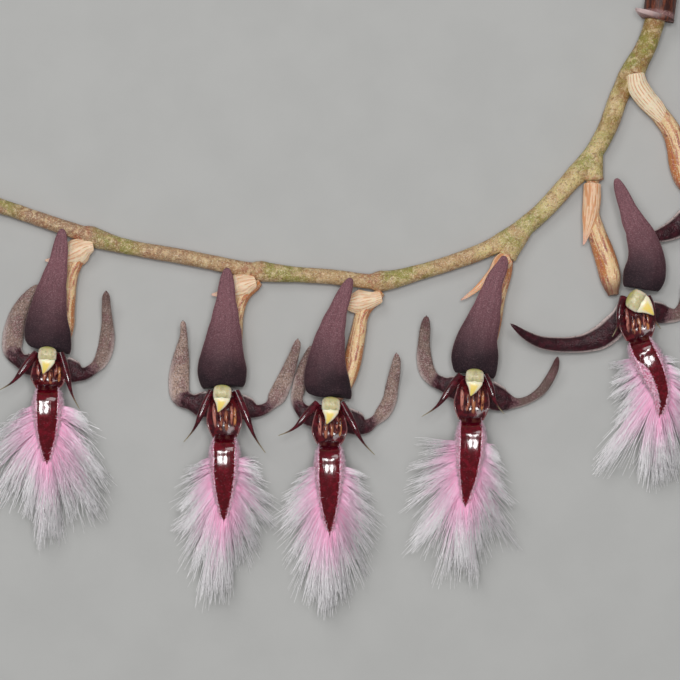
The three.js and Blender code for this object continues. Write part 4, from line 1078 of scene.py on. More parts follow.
def sheath_paper():
    """Dark dry sheath, mauve and tan towards its mouth, with a pale free tip."""
    c = colours()
    f = Finish("sheath paper", 0.5)
    along = f.value("along")
    streak = f.speckle(0.4, 0.4, 0.62, (1.0, 0.25, 1.0))
    skin = f.mix(streak, c.sheath_brown, linear(118, 56, 30), 0.8)
    mouth = f.times(f.stretch(along, 0.72, 0.77), f.stretch(f.value("across"), 0.75, 0.35))
    skin = f.mix(mouth, skin, linear(142, 104, 104), 0.8)
    pale = f.times(f.speckle(0.2, 0.5, 0.62), f.times(mouth, 0.4))
    skin = f.mix(pale, skin, linear(206, 170, 158))
    skin = f.mix(f.stretch(along, 0.9, 0.99), skin, linear(212, 186, 184))
    f.cells(0.3, 0.04)
    return f.paint(skin)


def dorsal_velvet():
    """Mauve velvet that darkens towards the column, with faint veins and a thin pale rim."""
    c = colours()
    f = Finish("dorsal velvet", 0.66, sheen=(0.05, 0.4))
    along, across = f.value("along"), f.value("across")
    patchy = f.calc("ADD", along, f.stretch(f.speckle(2.4, 0.3, 0.7), 0.0, 1.0, -0.04, 0.04))
    skin = f.mix(f.stretch(patchy, 0.0, 0.74), c.dorsal_dark, c.dorsal_mauve)
    vein = f.stretch(f.calc("COSINE", f.times(across, 17.0)), 0.5, 1.0)
    vein = f.times(vein, f.speckle(1.2, 0.4, 0.62))
    vein = f.times(vein, f.stretch(along, 0.3, 0.7, 0.1, 0.42))
    skin = f.mix(vein, skin, linear(66, 36, 44))
    grain = f.times(f.speckle(0.11, 0.5, 0.64), f.stretch(along, 0.1, 0.7, 0.08, 0.4))
    skin = f.mix(grain, skin, linear(176, 140, 144))
    dots = f.times(f.speckle(0.13, 0.46, 0.36), f.stretch(along, 0.1, 0.6, 0.15, 0.4))
    skin = f.mix(dots, skin, linear(46, 26, 34))
    rim = f.stretch(f.calc("ABSOLUTE", across), 0.94, 1.0)
    skin = f.mix(rim, skin, linear(178, 146, 146), 0.55)
    f.cells(0.11, 0.035)
    return f.paint(skin)


def lateral_skin():
    """Smooth maroon inner face, and a speckled horn where `horn` is 1, with frosty margins."""
    c = colours()
    f = Finish("lateral skin", 0.6, sheen=(0.05, 0.4))
    uneven = f.calc("ADD", f.value("horn"), f.stretch(f.speckle(0.8, 0.35, 0.65), 0.0, 1.0, -0.16, 0.16))
    rough = f.stretch(uneven, 0.35, 0.85)
    pale = f.value("pale")
    ground = f.mix(pale, c.horn_dark, c.horn_tan)
    horn = f.mix(f.speckle(1.5, 0.44, 0.6), ground, linear(120, 78, 84), 0.6)
    horn = f.mix(f.speckle(0.2, 0.48, 0.6), horn, toned(c.horn_tan, 0.3), 0.7)
    crust = f.times(f.speckle(0.13, 0.5, 0.64), f.stretch(pale, 0.0, 1.0, 0.12, 0.6))
    horn = f.mix(crust, horn, c.horn_frost)
    tip = f.times(f.stretch(f.value("along"), 0.8, 0.96), f.stretch(pale, 0.75, 0.3))
    horn = f.mix(tip, horn, linear(74, 34, 40), 0.8)
    inner = f.mix(f.speckle(0.5, 0.4, 0.65), c.inner_maroon, linear(64, 16, 28))
    velvet = f.mix(f.speckle(0.16, 0.42, 0.62), linear(70, 34, 44), linear(126, 92, 96))
    skin = f.mix(f.stretch(uneven, 0.08, 0.5), inner, velvet)
    skin = f.mix(rough, skin, horn)
    frost = f.times(f.value("frost"), f.speckle(0.22, 0.24, 0.48))
    skin = f.mix(frost, skin, c.horn_frost)
    f.roughen(rough, 0.4, 0.72)
    f.cells(0.16, 0.06)
    return f.paint(skin)


def foot_gloss():
    """Wet-looking maroon with pink and amber ridges and a thin pale rim."""
    c = colours()
    f = Finish("foot gloss", 0.2, coat=(0.6, 0.08), beneath=(0.08, 0.0004))
    skin = f.mix(f.speckle(0.6, 0.4, 0.65), c.foot_maroon, linear(96, 18, 28))
    middle = f.calc("MAXIMUM", f.calc("SINE", f.times(f.value("along"), math.pi)), 0.0)
    ends = f.times(f.calc("POWER", middle, 0.8), f.speckle(0.36, 0.4, 0.56, (1.0, 0.5, 1.0)))
    skin = f.mix(f.times(f.value("pink"), ends), skin, c.foot_pink)
    skin = f.mix(f.times(f.value("amber"), ends), skin, c.foot_amber)
    skin = f.mix(f.value("rim"), skin, linear(196, 140, 136), 0.5)
    f.cells(0.5, 0.02)
    return f.paint(skin)


def petal_gloss():
    """Wet-looking maroon that thins out to a pale tip."""
    c = colours()
    f = Finish("petal gloss", 0.18, coat=(0.7, 0.06))
    skin = f.mix(f.speckle(0.5, 0.4, 0.65), c.foot_maroon, linear(90, 18, 32))
    skin = f.mix(f.stretch(f.value("along"), 0.7, 0.97), skin, c.petal_tip)
    f.cells(0.5, 0.015)
    return f.paint(skin)


def cap_wax():
    """Waxy hood, greenish grey in its middle, with painted highlights that whiten its sides and painted
    shade that darkens its back end to olive, and a yellow beak.
    """
    c = colours()
    f = Finish("cap wax", 0.35, coat=(0.25, 0.2), beneath=(0.2, 0.0005))
    side = f.calc("ABSOLUTE", f.value("across"))
    # painted highlight: the hood's sides are whitened
    hood = f.mix(f.stretch(side, 0.5, 0.95), c.cap_green, c.cap_side_highlight, 0.6)
    # painted shade: the hood darkens to olive towards its back end, where it slopes down and away
    hood = f.mix(f.stretch(f.value("along"), 0.45, 0.05), hood, linear(168, 166, 84))
    hood = f.mix(f.speckle(0.4, 0.5, 0.66), hood, linear(150, 140, 112), 0.5)
    f.cells(0.3, 0.02)
    centre = f.times(f.stretch(side, 0.8, 0.3), f.stretch(f.value("along"), 0.2, 0.4))
    beak = f.mix(centre, linear(250, 238, 206), c.cap_yellow)
    return f.paint(f.mix(f.value("yellow"), hood, beak))


def lip_gloss():
    """Glossy crimson channel between downy pink sides."""
    c = colours()
    f = Finish("lip gloss", 0.16, coat=(0.7, 0.05), beneath=(0.03, 0.0004))
    pink = f.mix(f.speckle(0.16, 0.4, 0.56), c.lip_pink, linear(250, 206, 226))
    pink = f.mix(f.stretch(f.value("along"), 0.1, 0.03), pink, linear(96, 26, 44))
    dark = f.mix(f.speckle(0.5, 0.4, 0.7), c.lip_crimson, linear(112, 4, 26))
    dark = f.mix(f.stretch(f.value("along"), 0.17, 0.07), dark, c.foot_maroon)
    fuzz = f.stretch(f.speckle(0.14, 0.3, 0.7), 0.0, 1.0, -0.35, 0.35)
    side = f.stretch(f.calc("ADD", f.value("side"), fuzz), 0.3, 0.7)
    f.roughen(side, 0.14, 0.6)
    f.cells(0.3, 0.012, (1.0, 0.14, 1.0))
    return f.paint(f.mix(side, dark, pink))


def brush_colour():
    """Magenta at the root, then pink, then white at the tip, a little different on each hair."""
    c = colours()
    f = Finish("brush hair", 0.45)
    far = f.calc("ADD", f.value("far"), f.stretch(f.value("tone"), 0.0, 1.0, -0.12, 0.12))
    hair = f.mix(f.stretch(far, 0.04, 0.36), c.hair_magenta, c.hair_pink)
    hair = f.mix(f.stretch(far, 0.34, 0.72), hair, c.hair_white)
    f.cells(0.4, 0.005)
    normal = f.shader.inputs["Normal"]
    raised = vector_calc(f.tree, "ADD", normal.links[0].from_socket, (0.0, 0.0, 1.4))
    f.tree.links.new(vector_calc(f.tree, "NORMALIZE", raised), normal)
    return f.paint(hair)


def down_colour(name, pale):
    """Short hairs, a little uneven in tone."""
    f = Finish(name, 0.5)
    f.cells(0.4, 0.005)
    return f.paint(f.mix(f.speckle(0.4, 0.35, 0.7), pale, toned(pale, 0.55)))


def bud_skin():
    """Mauve-brown velvet, darkened by painted shade in the grooves between its ribs, and cream at its
    base.
    """
    c = colours()
    f = Finish("bud skin", 0.6, sheen=(0.2, 0.4))
    skin = f.mix(f.speckle(0.3, 0.4, 0.62), c.horn_dark, c.horn_tan)
    # painted shade: the grooves between the ribs are darkened
    groove_shade = f.stretch(f.value("rib"), -0.6, -1.0)
    skin = f.mix(groove_shade, skin, c.dorsal_dark, 0.8)
    skin = f.mix(f.stretch(f.value("along"), 0.2, 0.0), skin, c.stalk_cream)
    f.cells(0.18, 0.05)
    return f.paint(skin)


def floor_finish():
    """Plain pale card with the faintest grain."""
    f = Finish("floor card", 0.8)
    grey = colours().floor_grey
    f.cells(0.5, 0.004)
    return f.paint(f.mix(f.speckle(6.0, 0.3, 0.7), grey, toned(grey, 1.04)))


# ---- the stem, its stalks, bracts and sheath --------------------------------------------------


def stem_thickness():
    """The stem's radius at each of its points, and how green and how rusty it is there."""
    parts = FLOWERS + BUDS
    marks = [nearest_on_stem(part["node"]) for part in parts]
    forked = np.array(["stub" in part for part in parts])
    apart = STEM_WALKED[:, None] - STEM_WALKED[marks][None, :]
    reach = np.where(apart > 0, NODE_SWELLING_OLD_SIDE, NODE_SWELLING_YOUNG_SIDE)
    near = np.clip(1 - np.abs(apart) / reach, 0, 1) ** 1.4
    swelling = (near * np.where(forked, FORK_SWELLING, NODE_SWELLING)).max(axis=1)
    rim = np.exp(-(((apart + 0.5) / 0.22) ** 2)) * ~forked
    warm = np.exp(-(((apart + 1.0) / 1.1) ** 2)) * ~forked
    plain = np.interp(STEM_LINE[:, 0], *zip(*STEM_RADII))
    taper = np.minimum(1, 0.25 + STEM_SHARES * 20)
    thick = (plain + swelling + 0.07 * rim.max(axis=1) + 0.03 * waver(STEM_LINE, 3.0, 4)) * taper
    mouth = STEM_WALKED[nearest_on_stem(SHEATH_MOUTH)]
    sheathed = smoothstep(-2.0, -1.0, STEM_WALKED - mouth)
    green = (smoothstep(6.5, 3.5, apart) * smoothstep(-0.4, 0.8, apart)).max(axis=1)
    return thick + (STEM_RADIUS_SHEATHED - thick) * sheathed, green, 0.75 * warm.max(axis=1)


def stub_line(flower):
    """The end of an older stretch of stem, which goes straight on where the younger turns off."""
    node = STEM_WALKED[nearest_on_stem(flower["node"])]
    fork = STEM_LINE[np.searchsorted(STEM_WALKED, node + STUB_START)]
    along = end_crowded(30)
    end = np.array([*flower["stub"], fork[2]])
    longer = 1 + STUB_OVERHANG / np.linalg.norm(end - fork)
    return fork + (end - fork) * longer * along[:, None], along


def stalk_line(part, end_height):
    """A stalk's line to its flower or bud, from the stem's skin or from the stub's end."""
    spots = [np.array([x, y, OVARY_HEIGHT]) for x, y in part["pedicel"]]
    spots[-1][2] = end_height
    if "stub" in part:
        start = np.array([*part["stub"], OVARY_HEIGHT])
        start = start + 0.05 * (spots[0] - start)
    else:
        place = nearest_on_stem(part["node"])
        middle = np.array([*STEM_LINE[place][:2], OVARY_HEIGHT])
        heading = STEM_HEADING[place]
        away = spots[0] - middle
        away /= np.linalg.norm(away)
        sideways = away - heading * (away @ heading)
        sideways /= np.linalg.norm(sideways)
        start = middle + sideways * (STALK_START - STALK_SUNK + BUD_STALK_RADIUS * abs(away @ heading))
    along = np.linspace(0, 1, 60)
    line, _ = smooth_line([start, *spots], along)
    return line, along


def bract_body(part):
    """The thin papery bract that clasps a stalk, with a wavy margin."""
    route = part["bract"]
    last = len(route) - 1
    start = part.get("bract_start", BRACT_HEIGHT)
    heights = profile((0, start), (0.5, (start + BRACT_HEIGHT) / 2 - 0.05), (1, BRACT_TIP_HEIGHT))
    roll = profile((0, 1.4), (0.5, 1.35), (1, 0.5))
    widths = bent_width(half_widths(route), roll)
    body = leaf(
        [(x, y, float(heights(i / last))) for i, (x, y, _) in enumerate(route)],
        half_width=lambda along: widths(along) * rounded_ends(along, 0.03, 0.02),
        half_thickness=lambda along: 0.07 * rounded_ends(along, 0.03, 0.05),
        roll=roll,
        relief=lambda along, wide: (
            0.05 * np.cos(30 * wide) + 0.08 * np.sin(19 * along + 3 * wide) * np.abs(wide) ** 2
        ),
        ring=72,
        steps=32,
    )
    return mark(body, warm=part.get("bract_warmth", 0.3))


def sheath_body():
    """The sheath: a leaf rolled round the stem, whose free pointed tip turns out at its mouth."""
    along = end_crowded(80)
    out = np.clip((along - SHEATH_TIP_START) / 0.14, 0, 1)
    spots = [(x, y, SHEATH_HEIGHT) for x, y in SHEATH_ROUTE]
    line, heading = smooth_line(spots, np.minimum(along / SHEATH_TIP_START, 1))
    across, outward = across_and_outward(heading)
    half_turn = np.interp(out, (0, 0.25, 1), (2.6, 1.5, 0.12))[:, None]
    lean = np.interp(out, (0, 0.25, 1), (0, -0.7, -1.4))[:, None]
    around = np.linspace(0, 2 * np.pi, 96, endpoint=False)
    wide, deep = np.sin(around), np.cos(around)
    turn = lean + wide * half_turn
    wall = 0.16 * np.sign(deep) * np.abs(deep) ** 0.4 * rounded_ends(along, 0.02, 0.04)[:, None]
    tilt = (0.5 * np.pi * smoothstep(0, 0.3, out))[:, None]
    pleats = 0.03 * np.cos(turn * 17)
    radius = SHEATH_RADIUS + SHEATH_FLARE * out[:, None] + wall * np.cos(tilt) + pleats
    grid = line[:, None] + across[:, None] * (radius * np.sin(turn))[..., None]
    grid = grid + outward[:, None] * (radius * np.cos(turn))[..., None]
    ragged = 0.12 * waver(np.column_stack([wide * 3, deep * 0, wide * 0]), 1.0, 9)[None, :]
    ragged = ragged * smoothstep(0.5, 1, along)[:, None]
    grid = grid + heading[:, None] * (ragged - 0.8 * out[:, None] - wall * np.sin(tilt))[..., None]
    return ring_body(grid, {"along": along[:, None], "across": wide[None, :]})


# ---- the flowers' parts ------------------------------------------------------------------------


def dorsal_body(flower):
    """The dorsal sepal: a spade-shaped hood with a square base that tapers to a blunt tip."""
    heights = profile((0, 2.6), (0.2, 3.2), (0.5, 3.35), (1, 3.3))(shares_walked(flower["dorsal"]))
    widths = profile(
        (0, 0.82), (0.037, 0.93), (0.107, 1.0), (0.18, 0.96), (0.27, 0.858), (0.369, 0.75),
        (0.5, 0.63), (0.543, 0.563), (0.636, 0.489), (0.73, 0.378), (0.825, 0.327), (0.92, 0.245),
        (0.984, 0.13), (1, 0.05),
    )
    left_corner, right_corner = flower["corners"]
    seed = int(abs(flower["at"][0]) * 10)

    def relief(along, wide):
        groove = -0.12 * np.exp(-((wide / 0.16) ** 2)) * np.sin(np.pi * along)
        veins = 0.02 * np.cos(17 * wide) * smoothstep(0.0, 0.2, along)
        uneven = 0.07 * face_waver(along * 12, wide * 2.5, 2.2, seed)
        return groove + veins + uneven

    def sweep(along, wide):
        corner = np.where(wide > 0, left_corner, right_corner)
        return -corner * wide**2 * (1 - smoothstep(0, 0.14, along))

    return leaf(
        [flower_point(flower, spot, height) for spot, height in zip(flower["dorsal"], heights)],
        half_width=lambda along: flower["dorsal_width"] * widths(along),
        half_thickness=lambda along: 0.03 + 0.21 * rounded_ends(along, 0.02, 0.03),
        roll=profile((0, 0.7), (0.15, 0.6), (0.6, 0.4), (1, 0.3)),
        relief=relief,
        sweep=sweep,
        ring=56,
        steps=64,
    )


def lateral_body(flower, side, open_faced):
    """A lateral sepal: out from under the column, down to the surface, then up into a horn."""
    part = flower[side]
    route = part["route"]
    heights = profile((0, 1.85), (0.2, 1.4), (0.42, 0.6), (0.6, 0.8), (1, part["tip"]))
    roll = profile((0, 0.1), (0.4, 0.7), (1, 0.9))
    thickness = profile((0, 0.22), (0.3, 0.34), (0.7, 0.38), (0.95, 0.28), (1, 0.12))
    looks = half_widths(route)
    widths = bent_width(
        lambda along: np.maximum(looks(along) - 0.5 * thickness(along) * roll(along), 0.06), roll
    )
    seed = int(abs(flower["at"][0]) * 10) + len(side)

    def relief(along, wide):
        small = 0.05 * face_waver(along * 9, wide * 1.4, 0.55, seed)
        broad = 0.06 * face_waver(along * 9, wide * 1.4, 1.4, seed + 1)
        return (small + broad) * smoothstep(0.2, 0.5, along)

    body = leaf(
        [
            flower_point(flower, spot[:2], height)
            for spot, height in zip(route, heights(shares_walked(route)))
        ],
        half_width=lambda along: widths(along) * rounded_ends(along, 0.03, 0.05),
        half_thickness=thickness,
        roll=roll,
        relief=relief,
        ring=36,
        steps=70,
    )
    corners, _, named = body
    corners[:, 2] = np.maximum(corners[:, 2], 0.0)
    along = named["along"]
    margin = np.abs(named["across"])
    horn = smoothstep(0.16, 0.44, along)
    outer = named["across"] * (1 if side == "right" else -1)
    frost = smoothstep(0.35, 0.9, -outer) * smoothstep(0.24, 0.36, along) * smoothstep(0.72, 0.5, along)
    upper = smoothstep(0.8, 0.95, outer) * smoothstep(0.5, 0.3, along)
    frost = np.maximum(np.maximum(0.9 * frost, 0.95 * upper), 0.5 * smoothstep(0.86, 0.98, margin))
    if open_faced:
        horn = horn * smoothstep(0.72, 0.9, margin)
        frost = smoothstep(0.68, 0.84, margin)
    furry = np.maximum(horn, 0.8 * smoothstep(0.8, 0.97, margin)) * (0.2 + 0.8 * part["pale"])
    named.update(horn=horn, frost=frost, fur=furry * (corners[:, 2] > 0.05))
    return mark(body, pale=part["pale"])


def column_body(flower):
    """The column, its channelled foot and the ridges and lobes that stand in the channel."""
    foot_x, cap_x = flower["foot"], flower["cap"][0]
    lip_x, lip_y = flower["lip"][0]
    size = lip_y / -4.3

    def foot_point(x, y, height):
        """A point of the foot, given as it would be in a full-sized one that runs straight."""
        drift = (lip_x - foot_x) * max(0.0, y / -4.3)
        return flower_point(flower, (foot_x + drift + x, y * size), height)

    foot = leaf(
        [foot_point(0, y, FOOT_HEIGHT + z) for y, z in ((0.5, 0), (-1.4, 0), (-3.0, 0), (-4.15, 0.35))],
        half_width=profile((0, 1.2), (0.32, 1.6), (0.6, 1.8), (0.8, 1.62), (0.93, 1.4), (1, 1.2)),
        half_thickness=lambda along: 0.42 * rounded_ends(along, 0.1, 0.05),
        relief=lambda along, wide: 0.55 * np.abs(wide) ** 2.5 - 0.1,
        ring=44,
        steps=36,
    )
    rim = smoothstep(0.93, 1.0, np.abs(foot[2]["across"]))
    foot[2]["rim"] = rim * smoothstep(0.0, 0.2, foot[2]["along"])
    column = leaf(
        [
            flower_point(flower, (foot_x, 0.3), FOOT_HEIGHT),
            flower_point(flower, (foot_x + (cap_x - foot_x) * 2 / 3, 0.1), CAP_HEIGHT - 0.9),
            flower_point(flower, (cap_x, -0.1), CAP_HEIGHT - 0.5),
        ],
        half_width=lambda along: COLUMN_RADIUS * (1.25 - 0.3 * along),
        half_thickness=lambda along: COLUMN_RADIUS * 0.8 * rounded_ends(along, 0.05, 0.15),
        ring=32,
        steps=24,
        flat=1.0,
    )
    bodies = [foot, column]
    ridges = [
        # x, from y, to y, height, half width, pink, amber
        (-0.98, -0.5, -3.3, 0.52, 0.21, 1.0, 0.1),
        (0.74, -0.6, -2.9, 0.5, 0.17, 1.0, 0.2),
        (1.08, -0.9, -3.5, 0.5, 0.17, 0.3, 0.95),
        (-0.38, -1.1, -3.9, 0.38, 0.22, 0.6, 0.35),
        (0.2, -1.1, -3.9, 0.38, 0.22, 0.5, 0.5),
    ]
    for x, start, end, rise, half_width, pink, amber in ridges:
        spots = [(x, start, rise - 0.15), (x, (start + end) / 2, rise), (0.92 * x, end, rise - 0.25)]

        def half(along, wide=half_width):
            return wide * rounded_ends(along, 0.3, 0.7)

        ridge = leaf(
            [foot_point(x, y, FOOT_HEIGHT + z) for x, y, z in spots],
            half,
            half,
            relief=lambda along, wide, at=x: 0.04 * face_waver(along * 3, wide * 0.4 + 5 * at, 0.5, 3),
            ring=12,
            steps=20,
            flat=1.0,
        )
        bodies.append(mark(ridge, pink=pink, amber=amber))
    return joined(bodies)


def petal_line(flower, tip):
    """A needle-like petal: out from the column, then down to a fine wavering tip."""
    foot_x = flower["foot"]
    side = np.sign(tip[0] - foot_x)
    start = np.array([foot_x + side * 1.2, 0.6])
    middle = (start + tip) / 2 + (0.1 * side, -0.5)
    spots = [
        flower_point(flower, start, FOOT_HEIGHT + 0.3),
        flower_point(flower, middle, FOOT_HEIGHT + 1.05),
        flower_point(flower, tip, FOOT_HEIGHT + 0.9),
    ]
    along = np.linspace(0, 1, 48)
    line, heading = smooth_line(spots, along)
    bow = np.cross(UP, heading) * (0.14 * side * np.sin(2.2 * np.pi * along) * along)[:, None]
    taper = profile((0, 0.9), (0.15, 1.0), (0.32, 0.95), (0.5, 0.72), (0.65, 0.4), (0.8, 0.2), (1, 0.08))
    return line + bow, along, PETAL_RADIUS * taper(along)


def cap_body(flower):
    """The anther cap: a pale rounded hood, and the yellow beak that comes out under it."""
    out, up, turn, size = flower["cap"]
    cos, sin = size * math.cos(turn), size * math.sin(turn)

    def cap_point(x, y, height):
        spot = (out + x * cos - y * sin, up + x * sin + y * cos)
        return flower_point(flower, spot, CAP_HEIGHT + height)

    hood = leaf(
        [cap_point(0.05, 1.15, -0.3), cap_point(0, 0.45, 0.1), cap_point(-0.02, -0.15, 0.02)],
        half_width=lambda along: size
        * CAP_HALF_WIDTH
        * profile((0, 0.7), (0.3, 0.95), (0.75, 1.0), (1, 0.95))(along)
        * rounded_ends(along, 0.25, 0.1),
        half_thickness=lambda along: 0.42 * rounded_ends(along, 0.4, 0.25),
        relief=lambda along, wide: -0.12 * np.exp(-((wide / 0.2) ** 2)) * along,
        ring=36,
        steps=24,
        flat=0.8,
    )
    beak = leaf(
        [cap_point(0, 0.15, 0.1), cap_point(-0.12, -0.6, 0.16), cap_point(-0.4, -1.38, -0.1)],
        half_width=lambda along: 0.8
        * size
        * np.interp(along, (0, 0.25, 0.95, 1), (0.98, 0.95, 0.12, 0.05))
        * rounded_ends(along, 0.1, 0.02),
        half_thickness=lambda along: 0.3 * rounded_ends(along, 0.25, 0.15),
        ring=28,
        steps=24,
        flat=0.9,
    )
    return joined([hood, mark(beak, yellow=1)])


LIP_HEIGHTS = [(0.08, 4.33), (0.19, 4.46), (0.3, 4.53), (0.37, 4.5), (0.64, 4.0), (1.0, 2.9)]
LIP_WIDTH = profile(
    (0, 0.77), (0.1, 0.87), (0.25, 1.0), (0.395, 0.97), (0.538, 0.83), (0.68, 0.65), (0.825, 0.5),
    (0.93, 0.33), (1, 0.13),
)
LIP_CHANNEL = profile(
    (0, 0.9), (0.1, 0.95), (0.2, 1.0), (0.395, 0.95), (0.538, 0.81), (0.68, 0.57), (0.825, 0.33),
    (0.9, 0.14), (0.93, 0.0), (1, 0.0),
)


def lip_route(flower):
    """The lip's line: up from the foot's end, forward, then down to its tip."""
    shares, heights = zip(*LIP_HEIGHTS)
    line, _ = smooth_line(flower["lip"], shares)
    top_x, top_y = flower["lip"][0]
    start = flower_point(flower, (top_x, top_y + 0.35), FOOT_HEIGHT + 0.35)
    return [start] + [flower_point(flower, spot, height) for spot, height in zip(line, heights)]


def lip_body(flower):
    """The lip: a smooth crimson channel between downy sides, narrowing to a point."""
    thickness = profile((0, 0.3), (0.25, 0.45), (0.6, 0.45), (1, 0.2))

    def relief(along, wide):
        half = LIP_HALF_WIDTH * LIP_WIDTH(along)
        out = np.abs(wide) * half
        channel = np.minimum(LIP_CHANNEL(along), half)
        hollow = np.minimum(out, channel) ** 2 / (2 * LIP_CHANNEL_CURVE)
        level = thickness(along) * (1 - (1 - np.minimum(np.abs(wide), 0.8) ** 2) ** (LIP_FLATNESS / 2))
        rim = 0.06 * np.exp(-(((out - channel - 0.08) / 0.1) ** 2)) * smoothstep(1.0, 0.85, along)
        fall = 0.5 * smoothstep(channel + 0.05, half + 0.05, out)
        return level + hollow + rim - fall

    body = leaf(
        lip_route(flower),
        half_width=lambda along: LIP_HALF_WIDTH * LIP_WIDTH(along) * rounded_ends(along, 0.02, 0.05),
        half_thickness=thickness,
        relief=relief,
        ring=72,
        steps=76,
        flat=LIP_FLATNESS,
    )
    named = body[2]
    half = LIP_HALF_WIDTH * LIP_WIDTH(named["along"])
    out = np.abs(named["across"]) * half
    channel = LIP_CHANNEL(named["along"])
    if flower["turn"]:
        # a turned flower's left side is downy far into the channel
        downy = 0.7 * smoothstep(0.2, 0.4, named["along"])
        channel = channel * np.where(named["across"] < 0, 1 - downy, 1)
    late = smoothstep(0.62, 0.86, named["along"])
    edge = smoothstep(channel - 0.2 * late, channel + 0.12, out)
    named["side"] = np.maximum(edge, smoothstep(0.2, -0.2, named["front"]))
    named["fur"] = named["side"] * (named["front"] > -0.6) * smoothstep(0.04, 0.12, named["along"])
    return body


def brush_bed(flower):
    """The downy sides that the brush grows from: each corner knows where its hair's tip goes."""
    stations, layers = 40, 7
    line, _ = smooth_line(lip_route(flower), np.linspace(BED_START, 1.0, stations))
    share = np.linspace(0, 1, stations)
    width = LIP_HALF_WIDTH * LIP_WIDTH(BED_START + (1 - BED_START) * share)
    corners, combs, crowding, faces = [], [], [], []
    for side in (-1, 1):
        angles, reaches = zip(*flower["brush"][side])
        degrees = angles[0] + (angles[-1] - angles[0]) * share
        places = np.column_stack([degrees, 0 * degrees, 0 * degrees])
        groups = waver(places, 9.0, int(10 * flower["at"][0]) ** 2 + side + 1)
        reach = np.interp(degrees, angles, reaches) * (0.97 + 0.11 * groups)
        droop = np.radians(degrees)
        start = len(corners)
        for layer in range(layers):
            low = layer / (layers - 1)
            over_tip = smoothstep(0.72, 0.92, share) * (1 - low) ** 2
            out = side * width * (0.62 + 0.3 * math.sin(math.pi * low)) * (1 - over_tip)
            root = line + np.column_stack([out, 0 * out, 0.2 - 0.75 * low + 0.24 * over_tip])
            tip_height = BED_TOP * (1 - low) + BED_LOW * low - 0.9 * share * (1 - low)
            tip = root + np.column_stack([side * reach * np.cos(droop), -reach * np.sin(droop), 0 * out])
            tip[:, 2] = tip_height
            corners += root.tolist()
            combs += ((tip - root) * MM).tolist()
            crowding += ((0.75 + 0.8 * share**2) * np.clip(1 + 0.55 * groups, 0.3, 1.5)).tolist()
        for layer in range(layers - 1):
            for station in range(stations - 1):
                a = start + layer * stations + station
                face = (a, a + 1, a + stations + 1, a + stations)
                faces.append(face if side > 0 else face[::-1])
    return metre_mesh("bed", np.array(corners), [], faces, {"comb": combs, "crowding": crowding})


# ---- operators: one for each kind of piece -------------------------------------------------------


class ORCHID_OT_stem(Operator):
    """Make the stem, swollen at its nodes, with the stubs that older flowers' stalks come out of"""

    bl_idname = "orchid.stem"
    bl_label = "Stem"

    def execute(self, context):
        thick, green, rim = stem_thickness()
        parts = [(STEM_LINE, thick, green, rim, STEM_SHARES)]
        for flower in FLOWERS:
            if "stub" in flower:
                line, along = stub_line(flower)
                collar = 0.06 * np.exp(-(((along - 0.9) / 0.06) ** 2))
                thick = (STUB_RADIUS + collar) * rounded_ends(along, 0.01, 0.07) + 0.02
                green, rim = 0.8 * smoothstep(1.0, 0.4, along), smoothstep(0.7, 0.98, along)
                age = np.full(len(line), STEM_SHARES[nearest_on_stem(flower["node"])])
                parts.append((line, thick, green, rim, age))
        runs = [len(part[0]) for part in parts]
        line, thick, green, rim, age = (np.concatenate(values) for values in zip(*parts))
        source = line_mesh("stem line", line, thick, runs, green=green, rim=rim, age=age)
        mesh = grown("flower_stem", source, stalk_tree(), **STEM_LOOK, material=stem_skin())
        add_piece(mesh, "stem", "stem")
        return {"FINISHED"}


class ORCHID_OT_sheath(Operator):
    """Make the sheath near the stem's cut end"""

    bl_idname = "orchid.sheath"
    bl_label = "Sheath"

    def execute(self, context):
        add_piece(to_mesh("stem_sheath", sheath_body()), "sheath", "sheath", material=sheath_paper())
        return {"FINISHED"}


class ORCHID_OT_bracts(Operator):
    """Make the papery bracts"""

    bl_idname = "orchid.bracts"
    bl_label = "Bracts"

    def execute(self, context):
        paper = bract_paper()
        for kind, parts in (("", FLOWERS), ("bud_", BUDS)):
            for k, part in enumerate(parts, 1):
                mesh = to_mesh(f"papery_{kind}bract_{k}", bract_body(part))
                add_piece(mesh, "bract", f"{kind}bract_{k}", material=paper)
        return {"FINISHED"}


class ORCHID_OT_stalks(Operator):
    """Make the stalks of the flowers and buds"""

    bl_idname = "orchid.stalks"
    bl_label = "Stalks"

    def execute(self, context):
        looks = {"material": stalk_skin(), **STALK_LOOK}
        tree = stalk_tree()
        for k, flower in enumerate(FLOWERS, 1):
            line, along = stalk_line(flower, OVARY_END_HEIGHT)
            first, ovary = flower["stalk"]
            start = 0.9 if "stub" in flower else 0.6
            thick = profile(
                (0, start * first), (0.08, 0.96 * first), (0.25, first), (0.65, ovary),
                (0.82, ovary), (1, ovary * 0.5),
            )(along)
            ribbed = smoothstep(0.05, 0.4, along)
            source = line_mesh("stalk line", line, thick, ribbed=ribbed, along=along)
            add_piece(grown(f"ribbed_stalk_{k}", source, tree, **looks), "pedicel", f"pedicel_{k}")
        for k, bud in enumerate(BUDS, 1):
            line, along = stalk_line(bud, OVARY_HEIGHT)
            thick = BUD_STALK_RADIUS + 0 * along
            source = line_mesh("stalk line", line, thick, ribbed=along, along=along)
            mesh = grown(f"ribbed_bud_stalk_{k}", source, tree, **looks)
            add_piece(mesh, "pedicel", f"bud_pedicel_{k}")
        return {"FINISHED"}


